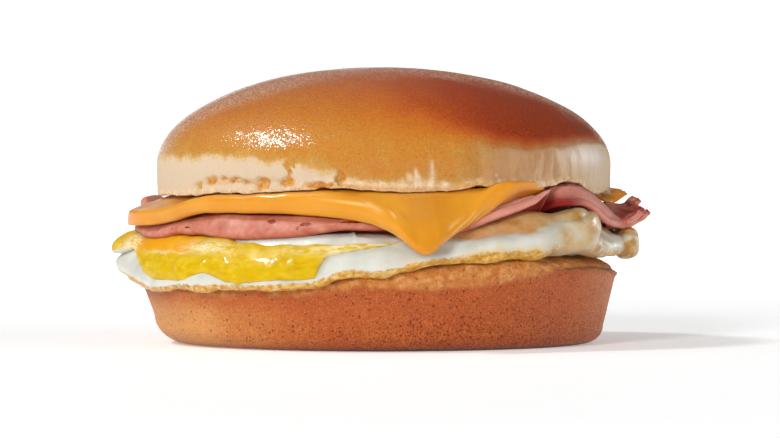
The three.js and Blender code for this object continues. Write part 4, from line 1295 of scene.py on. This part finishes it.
def crown_look():
    look = Look("glazed_bun_crust")
    mottle = look.grain(0.55, 3, 0.65)
    clouds = look.grain(8, 3, 0.55)
    upright = look.grain(2.4, 3, 0.6, stretch=(1, 1, 0.3), distortion=0.3)
    baked = look.field("baked")
    varied = look.centred(mottle, 0.42)
    varied = look.maths("ADD", varied, look.centred(clouds, 0.1))
    amount = look.between(baked, 0.03, 0.35)
    baked = look.maths("MULTIPLY_ADD", varied, amount, baked)
    in_edge = look.maths("SUBTRACT", look.between(baked, 0.02, 0.12), look.between(baked, 0.36, 0.5))
    edge_noise = look.centred(upright, 0.3)
    baked = look.maths("MULTIPLY_ADD", edge_noise, in_edge, baked, clamp=True)
    cream = look.blend(look.field("tint"), (201, 184, 161), (168, 130, 94))
    cream = look.blend(look.between(upright, 0.4, 0.7, 0, 0.5), cream, (206, 182, 156))
    crust = look.ramp(baked, [
        (0.0, (206, 186, 160)), (0.16, (200, 164, 108)), (0.34, (189, 141, 64)),
        (0.5, (188, 116, 36)), (0.66, (180, 90, 28)), (0.82, (150, 62, 26)),
        (1.0, (110, 40, 20)),
    ])
    rosy = look.ramp(baked, [
        (0.0, (186, 152, 118)), (0.25, (172, 126, 80)), (0.45, (168, 102, 54)),
        (0.62, (160, 82, 38)), (0.8, (152, 64, 32)), (1.0, (110, 42, 22)),
    ])
    crust = look.blend(look.field("rosy"), crust, rosy)
    tone = look.blend(look.between(baked, 0.02, 0.26), cream, crust)
    specks = look.maths("LESS_THAN", look.cells(1.1)["Distance"], 0.15)
    specks = look.times(specks, look.between(look.grain(4), 0.45, 0.65, 0, 0.55))
    tone = look.blend(look.times(specks, amount), tone, (104, 40, 18))
    torn_tone = look.blend(look.grain(0.8, 3), (212, 176, 132), (236, 220, 196))
    tone = look.blend(look.field("tear"), tone, torn_tone)
    crumb = look.field("crumb")
    torn = look.ramp(look.grain(0.9, 3, 0.65), [
        (0.3, (206, 160, 104)), (0.48, (222, 200, 168)), (0.7, (236, 222, 202))])
    tone = look.blend(look.times(crumb, look.between(look.grain(1.8), 0.3, 0.6)), tone, torn)
    toast = look.broken("toast", look.grain(0.9, 3), 0.25, 0.5)
    toasted = look.ramp(look.grain(1.1, 3, 0.6), [
        (0.3, (186, 114, 38)), (0.5, (206, 146, 62)), (0.7, (220, 174, 104))])
    tone = look.blend(toast, tone, toasted)
    freckles = look.between(look.grain(0.42, 2, 0.6), 0.36, 0.64, 0.0, 0.3)
    tone = look.blend(freckles, tone, (236, 178, 110), "SOFT_LIGHT")
    # Painted satin highlight: the pale side is whitened in upright streaks
    painted_highlight = look.broken("painted_satin_highlight", upright, 0.3, 0.6, 0.45, 1.0)
    tone = look.blend(painted_highlight, tone, (232, 220, 212))
    # Painted sheen: grainy lighter colour at grazing angles near the silhouette, stronger towards the
    # left
    facing = look.node("LayerWeight", {"Blend": 0.35}).outputs["Facing"]
    leftward = look.node("SeparateXYZ", {0: look.coordinates}).outputs[0]
    leftward = look.between(leftward, -0.006, -0.03)
    painted_sheen = look.between(look.maths("MULTIPLY_ADD", leftward, 0.13, facing), 0.66, 0.8)
    speckle = look.between(look.grain(0.6, 2, 0.6), 0.47, 0.57, 0.1, 0.85)
    painted_sheen = look.times(painted_sheen, speckle)
    tone = look.blend(look.times(painted_sheen, amount), tone, (210, 172, 148))
    gloss = look.between(baked, 0.1, 0.55, 0.62, 0.42)
    coat = look.between(baked, 0.12, 0.4, 0.1, 0.85)
    coat = look.times(coat, look.between(baked, 0.6, 0.85, 1, 0.4))
    coat = look.times(coat, look.between(look.grain(0.55, 2, 0.55), 0.46, 0.54, 0.02, 1.5))
    coat = look.times(coat, look.between(look.field("rosy"), 0, 1, 1, 0.3))
    fine = look.bump(look.grain(0.45), 0.12)
    relief = look.bump(look.grain(0.7, 3, 0.6), 0.07, fine)
    relief = look.bump(look.grain(1.7), 0.05, relief)
    wrinkle = look.times(upright, look.between(baked, 0.5, 0.12, 0, 1))
    relief = look.bump(wrinkle, 0.5, relief)
    relief = look.bump(look.times(crumb, look.grain(0.8, 3)), 0.4, relief)
    return look.finish(
        Base_Color=tone, Roughness=gloss, Coat_Weight=coat, Coat_Roughness=0.03, Coat_IOR=1.5,
        Normal=relief, Coat_Normal=fine, Subsurface_Weight=0.12, Subsurface_Radius=(1, 0.5, 0.25),
        Subsurface_Scale=0.002, Specular_IOR_Level=0.03)


def heel_look():
    look = Look("baked_bun_heel")
    grain = look.grain(0.5, 3, 0.7)
    coarse = look.grain(1.3)
    clouds = look.grain(9, 3)
    # Crust warmth, with painted shade under the egg's overhang
    warmth_and_shade = look.maths("ADD", look.field("warmth_and_shade"), look.centred(clouds, 0.26))
    warmth_and_shade = look.maths("ADD", warmth_and_shade, look.centred(coarse, 0.2))
    warmth_and_shade = look.maths("MULTIPLY_ADD", grain, 0.7, look.maths("SUBTRACT", warmth_and_shade, 0.35), clamp=True)
    crust = look.ramp(warmth_and_shade, [
        (0.0, (210, 148, 84)), (0.25, (194, 116, 55)), (0.5, (178, 88, 38)),
        (0.75, (160, 68, 30)), (1.0, (122, 46, 20))])
    pore_cells = look.cells(0.72)
    chosen = look.node("SeparateColor", {0: pore_cells["Color"]}).outputs[0]
    keep = look.maths("LESS_THAN", chosen, look.field("pores", 0.8))
    pores = look.times(look.between(pore_cells["Distance"], 0.42, 0.16), keep)
    dots = look.between(look.cells(0.42)["Distance"], 0.42, 0.12, 0, 0.75)
    dots = look.times(dots, look.between(look.field("pores"), 0, 0.8, 0.35, 1))
    holes = look.maths("MAXIMUM", pores, dots)
    crust = look.blend(look.times(holes, 0.75), crust, (112, 40, 16))
    bead_cells = look.cells(0.62, look.stretched((1.3, 1.1, 1.2)))
    crust = look.blend(look.between(bead_cells["Distance"], 0.34, 0.16, 0, 0.4), crust, (226, 152, 92))
    crust = look.blend(look.field("low", 0.35), crust, (110, 46, 22))
    # Painted contact shade at the foot
    crust = look.blend(look.field("foot"), crust, (60, 18, 14))
    soft = look.ramp(look.grain(2.0, 4, 0.65), [
        (0.3, (176, 98, 42)), (0.5, (196, 126, 62)), (0.7, (216, 162, 102))])
    shoulder = look.maths("ADD", look.field("shoulder"), look.centred(grain, 0.7), clamp=True)
    tone = look.blend(shoulder, crust, soft)
    rim_line = look.broken("rim_line", grain, 0.3, 0.6, 0.5, 1)
    tone = look.blend(rim_line, tone, (120, 50, 22))
    relief = look.bump(grain, 0.16)
    relief = look.bump(holes, -0.25, relief)
    relief = look.bump(look.times(shoulder, look.grain(1.6, 3)), 0.3, relief)
    return look.finish(
        Base_Color=tone, Roughness=look.between(grain, 0.3, 0.7, 0.42, 0.6), Normal=relief,
        Subsurface_Weight=0.12, Subsurface_Radius=(1, 0.45, 0.2), Subsurface_Scale=0.0015,
        Specular_IOR_Level=0.25)


def egg_look():
    look = Look("cooked_egg_white")
    clouds = look.grain(5, 3)
    white = look.ramp(clouds, [(0.3, (194, 195, 184)), (0.5, (206, 206, 195)), (0.7, (214, 214, 207))])
    # Tan of the painted shade on the egg's top, also used for the tan patches further in
    tan = look.ramp(look.grain(5, 3, 0.6, stretch=(1, 1, 2)), [
        (0.3, (180, 118, 60)), (0.55, (202, 152, 96)), (0.75, (214, 178, 130))])
    tone = look.blend(look.field("tan"), white, tan)
    lace = look.grain(1.2, 3, 0.6)
    brown = look.ramp(lace, [
        (0.28, (168, 104, 22)), (0.45, (202, 146, 42)), (0.58, (218, 176, 78)),
        (0.72, (230, 210, 148))])
    glow = look.broken("glow", look.grain(1.8, 3), 0.25, 0.6, 0.3, 1)
    tone = look.blend(glow, tone, (216, 184, 108))
    amount = look.maths("SUBTRACT", look.field("brown"), 0.85)
    amount = look.maths("MULTIPLY_ADD", look.grain(1.3, 4, 0.6), 1.6, amount)
    amount = look.times(look.between(amount, 0.2, 0.6), look.between(look.field("brown"), 0, 0.25))
    tone = look.blend(amount, tone, brown)
    cream = look.broken("cream", clouds, 0.25, 0.6, 0.2, 0.85)
    tone = look.blend(cream, tone, (196, 162, 84))
    stain = look.broken("stain", look.grain(1.3, 3), 0.3, 0.5)
    tone = look.blend(stain, tone, look.blend(look.grain(1), (152, 94, 10), (196, 152, 60)))
    relief = look.bump(look.grain(2.2), 0.16)
    relief = look.bump(look.grain(0.7), 0.04, relief)
    relief = look.bump(look.times(amount, lace), 0.4, relief)
    return look.finish(
        Base_Color=tone, Roughness=look.between(look.grain(3), 0.3, 0.7, 0.28, 0.42), Normal=relief,
        Coat_Weight=0.3, Coat_Roughness=0.1, Subsurface_Weight=0.4, Subsurface_Radius=(1, 0.85, 0.7),
        Subsurface_Scale=0.002, Specular_IOR_Level=0.4)


def yolk_look():
    look = Look("runny_yolk")
    flow = look.grain(3.4, 3, 0.5, stretch=(1, 1, 2.4), distortion=0.6)
    bright = look.ramp(flow, [(0.3, (198, 156, 4)), (0.5, (206, 168, 8)), (0.72, (214, 181, 38))])
    deep = look.blend(flow, (216, 146, 6), (226, 166, 26))
    tone = look.blend(look.field("deep"), bright, deep)
    # Pale streaks, partly a painted reflection along the yolk's ridge
    streak = look.between(look.grain(2.0, 4, 0.6, stretch=(0.7, 0.7, 3.2), distortion=0.8), 0.36, 0.58)
    pale = look.times(look.field("pale"), streak)
    tone = look.blend(pale, tone, (224, 210, 160))
    tone = look.blend(look.field("veil"), tone, (204, 204, 190))
    relief = look.bump(flow, 0.14)
    relief = look.bump(look.grain(1.3), 0.1, relief)
    wet = look.between(look.grain(1.6, stretch=(1, 1, 2)), 0.42, 0.55, 0.3, 1)
    wet = look.times(wet, look.between(look.field("wet"), 0, 1, 0.01, 0.4))
    return look.finish(
        Base_Color=tone, Roughness=0.3, Normal=relief, Coat_Weight=wet, Coat_Roughness=0.05,
        Subsurface_Weight=0.15, Subsurface_Radius=(1, 0.6, 0.1), Subsurface_Scale=0.002,
        Specular_IOR_Level=0.04)


def ham_look():
    look = Look("sliced_ham")
    meat = look.grain(3.5, 4, 0.6)
    pink = look.ramp(meat, [(0.3, (174, 96, 74)), (0.5, (190, 115, 92)), (0.7, (202, 138, 117))])
    pink = look.layers(pink, [
        (look.field("fair"), look.blend(meat, (196, 120, 102), (222, 160, 142))),
        (look.field("shade"), look.blend(meat, (162, 78, 62), (196, 120, 102))),
        # Painted red shade on the undersides
        (look.field("red", 0.55), (170, 52, 38)),
        # Painted dark shade in the cavity under the arch
        (look.field("painted_cave_shade"), (134, 30, 24)),
    ])
    fibre = look.grain(1.0, 4, 0.7, stretch=(0.3, 1, 1.3))
    torn = look.ramp(fibre, [(0.32, (136, 38, 32)), (0.5, (196, 92, 80)), (0.66, (230, 158, 142))])
    tone = look.blend(look.field("torn"), pink, torn)
    specks = look.between(look.cells(1.7)["Distance"], 0.14, 0.07, 0, 0.7)
    specks = look.times(specks, look.between(look.grain(6), 0.48, 0.6))
    tone = look.blend(specks, tone, (104, 30, 26))
    mark = look.maths("MULTIPLY_ADD", look.grain(0.8, 3, 0.6), 1.1, look.field("mark"))
    mark = look.times(look.between(mark, 1.0, 1.14), look.between(look.field("mark"), 0.1, 0.3))
    tone = look.blend(mark, tone, (136, 32, 10))
    # Painted contact shade along the lower ham's ridge under the crown
    painted_contact_shade = look.broken("painted_contact_shade", look.grain(1.0), 0.42, 0.56)
    tone = look.blend(painted_contact_shade, tone, (66, 18, 14))
    relief = look.bump(look.grain(1.3, 3), 0.14)
    relief = look.bump(mark, -0.1, relief)
    relief = look.bump(look.times(look.field("torn"), fibre), 0.8, relief)
    return look.finish(
        Base_Color=tone, Roughness=look.between(look.grain(2), 0.3, 0.7, 0.42, 0.6), Normal=relief,
        Coat_Weight=look.between(look.grain(0.9), 0.62, 0.68, 0, 0.4), Coat_Roughness=0.08,
        Subsurface_Weight=0.2, Subsurface_Radius=(1, 0.3, 0.2), Subsurface_Scale=0.0015,
        Specular_IOR_Level=0.22)


def cheese_look():
    look = Look("melted_cheese")
    clouds = look.grain(10)
    tone = look.ramp(clouds, [(0.3, (208, 132, 22)), (0.5, (214, 142, 30)), (0.7, (218, 150, 40))])
    tone = look.layers(tone, [
        (look.field("deep"), (216, 124, 0)),
        (look.field("ridge", 0.8), (224, 140, 4)),
        (look.field("edge", 0.25), (222, 156, 50)),
        (look.field("tan"), (204, 136, 48)),
        # Painted pink reflection on the upward face at the left
        (look.broken("painted_pink_reflection", look.grain(2.5), 0.3, 0.6, 0.35, 0.8), (236, 188, 150)),
        # Painted shade on the underside at the right
        (look.field("under", 0.75), (164, 84, 26)),
        (look.between(look.grain(1.6, stretch=(1, 1, 1.4)), 0.45, 0.8, 0, 0.2), (218, 156, 72)),
        # Painted highlight streaks and crease line
        (look.field("streak", 0.55), (236, 190, 120)),
    ])
    relief = look.bump(look.grain(4), 0.1)
    relief = look.bump(look.grain(1.1), 0.015, relief)
    return look.finish(
        Base_Color=tone, Roughness=0.36, Normal=relief, Coat_Weight=0.6, Coat_Roughness=0.1,
        Coat_IOR=1.35, Subsurface_Weight=0.2, Subsurface_Radius=(1, 0.4, 0.08),
        Subsurface_Scale=0.0025, Specular_IOR_Level=0.12)


def wear(piece, look, node):
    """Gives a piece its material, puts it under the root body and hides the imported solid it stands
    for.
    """
    piece.data.materials.clear()
    piece.data.materials.append(look)
    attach(piece, "root")
    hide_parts(node)


def lamp_object(data, towards, location):
    """Puts a light in the scene so that it shines at the sandwich from a direction."""
    lamp = in_scene(data)
    lamp.location = location
    lamp.rotation_mode = "QUATERNION"
    lamp.rotation_quaternion = Vector(towards).to_track_quat("Z", "Y")
    return lamp


def softbox(name, towards, distance, size, radiance):
    """Rectangular light of a given brightness, its distance and size in millimetres."""
    data = bpy.data.lights.new(name, "AREA")
    data.shape, data.size, data.size_y = "RECTANGLE", size[0] * MM, size[1] * MM
    data.energy = radiance * math.pi * data.size * data.size_y
    direction = Vector(towards).normalized()
    aim = Vector((0, 0, SOFTBOX_AIM_HEIGHT))
    return lamp_object(data, direction, (direction * distance + aim) * MM)


def far_light(name, towards, strength, spread):
    """Even light from far away, blurred over a spread in degrees, which leaves no glints."""
    data = bpy.data.lights.new(name, "SUN")
    data.energy, data.angle = strength, math.radians(spread)
    lamp_object(data, Vector(towards), Vector(towards)).visible_glossy = False


def floor_stage():
    """Pale floor that glows a little and more so far away, so that it fades into white."""
    half = FLOOR_HALF_METRES
    mesh = bpy.data.meshes.new("floor")
    corners = [(-half, -half, 0), (half, -half, 0), (half, half, 0), (-half, half, 0)]
    mesh.from_pydata(corners, [], [(0, 1, 2, 3)])
    floor = in_scene(mesh)
    look = Look("pale_floor")
    distance = look.node("VectorMath", {0: look.coordinates}, operation="LENGTH").outputs["Value"]
    glow = look.between(distance, *FLOOR_GLOW_METRES, *FLOOR_GLOW)
    look.finish(Base_Color=(0.9, 0.9, 0.9, 1), Roughness=0.6, Specular_IOR_Level=0.1,
                Emission_Color=(1, 1, 1, 1), Emission_Strength=glow)
    mesh.materials.append(look.material)


def studio():
    """White surroundings, brightest low down."""
    world = bpy.data.worlds.new("studio")
    bpy.context.scene.world = world
    world.use_nodes = True
    nodes, links = world.node_tree.nodes, world.node_tree.links
    direction = nodes.new("ShaderNodeTexCoord")
    split = nodes.new("ShaderNodeSeparateXYZ")
    fall = nodes.new("ShaderNodeMapRange")
    fall.interpolation_type = "SMOOTHSTEP"
    links.new(direction.outputs["Generated"], split.inputs["Vector"])
    links.new(split.outputs["Z"], fall.inputs["Value"])
    for name, value in zip(("From Min", "From Max", "To Min", "To Max"), SKY_FALL):
        fall.inputs[name].default_value = value
    links.new(fall.outputs["Result"], nodes["Background"].inputs["Strength"])
    nodes["Background"].inputs["Color"].default_value = (1, 1, 1, 1)


def lights():
    glint = softbox("glint", GLINT_DIRECTION, 700, (150, 110), 100)
    glint.visible_diffuse = False
    far_light("upper", GLINT_DIRECTION, 1.1, 8)
    softbox("upper_left", (-0.6, 0.1, 0.79), 1000, (600, 450), 1.2)
    edge_light = softbox("edge_light", (0.83, 0.56, 0.1), 1000, (120, 460), 9)
    edge_light.visible_diffuse = False
    far_light("front_left", (-0.38, -0.92, 0.36), 1.75, 14)
    far_light("right", (0.9, -0.35, 0.3), 0.65, 40)


def camera():
    """The photo's view: level, from the front, through a long lens with the frame shifted down."""
    frame_width, frame_height = 780, 438
    focal_pixels = 4440
    eye_distance, eye_height = 1000, 45
    centre_column, horizon_row = 383, 142.2
    data = bpy.data.cameras.new("camera")
    data.sensor_width = 36
    data.lens = focal_pixels / frame_width * data.sensor_width
    data.shift_x = (frame_width / 2 - centre_column) / frame_width
    data.shift_y = -(frame_height / 2 - horizon_row) / frame_width
    data.clip_start, data.clip_end = 0.05, 50
    eye = in_scene(data)
    eye.location = (0, -eye_distance * MM, eye_height * MM)
    eye.rotation_euler = (math.pi / 2, 0, 0)
    bpy.context.scene.camera = eye


ham_material = ham_look()
crown = crown_piece()
wear(crown, crown_look(), "bun_crown")
wear(heel_piece(), heel_look(), "bun_heel")
wear(egg_piece(), egg_look(), "egg_white")
wear(yolk_piece(), yolk_look(), "egg_yolk")
wear(lower_ham_piece(), ham_material, "ham_slice_lower")
wear(upper_ham_piece(), ham_material, "ham_slice_upper")
wear(cheese_piece(lip_of(crown)), cheese_look(), "cheese_slice")

floor_stage()
studio()
lights()
camera()
scene = bpy.context.scene
scene.view_settings.view_transform = "Standard"
scene.view_settings.look = "None"
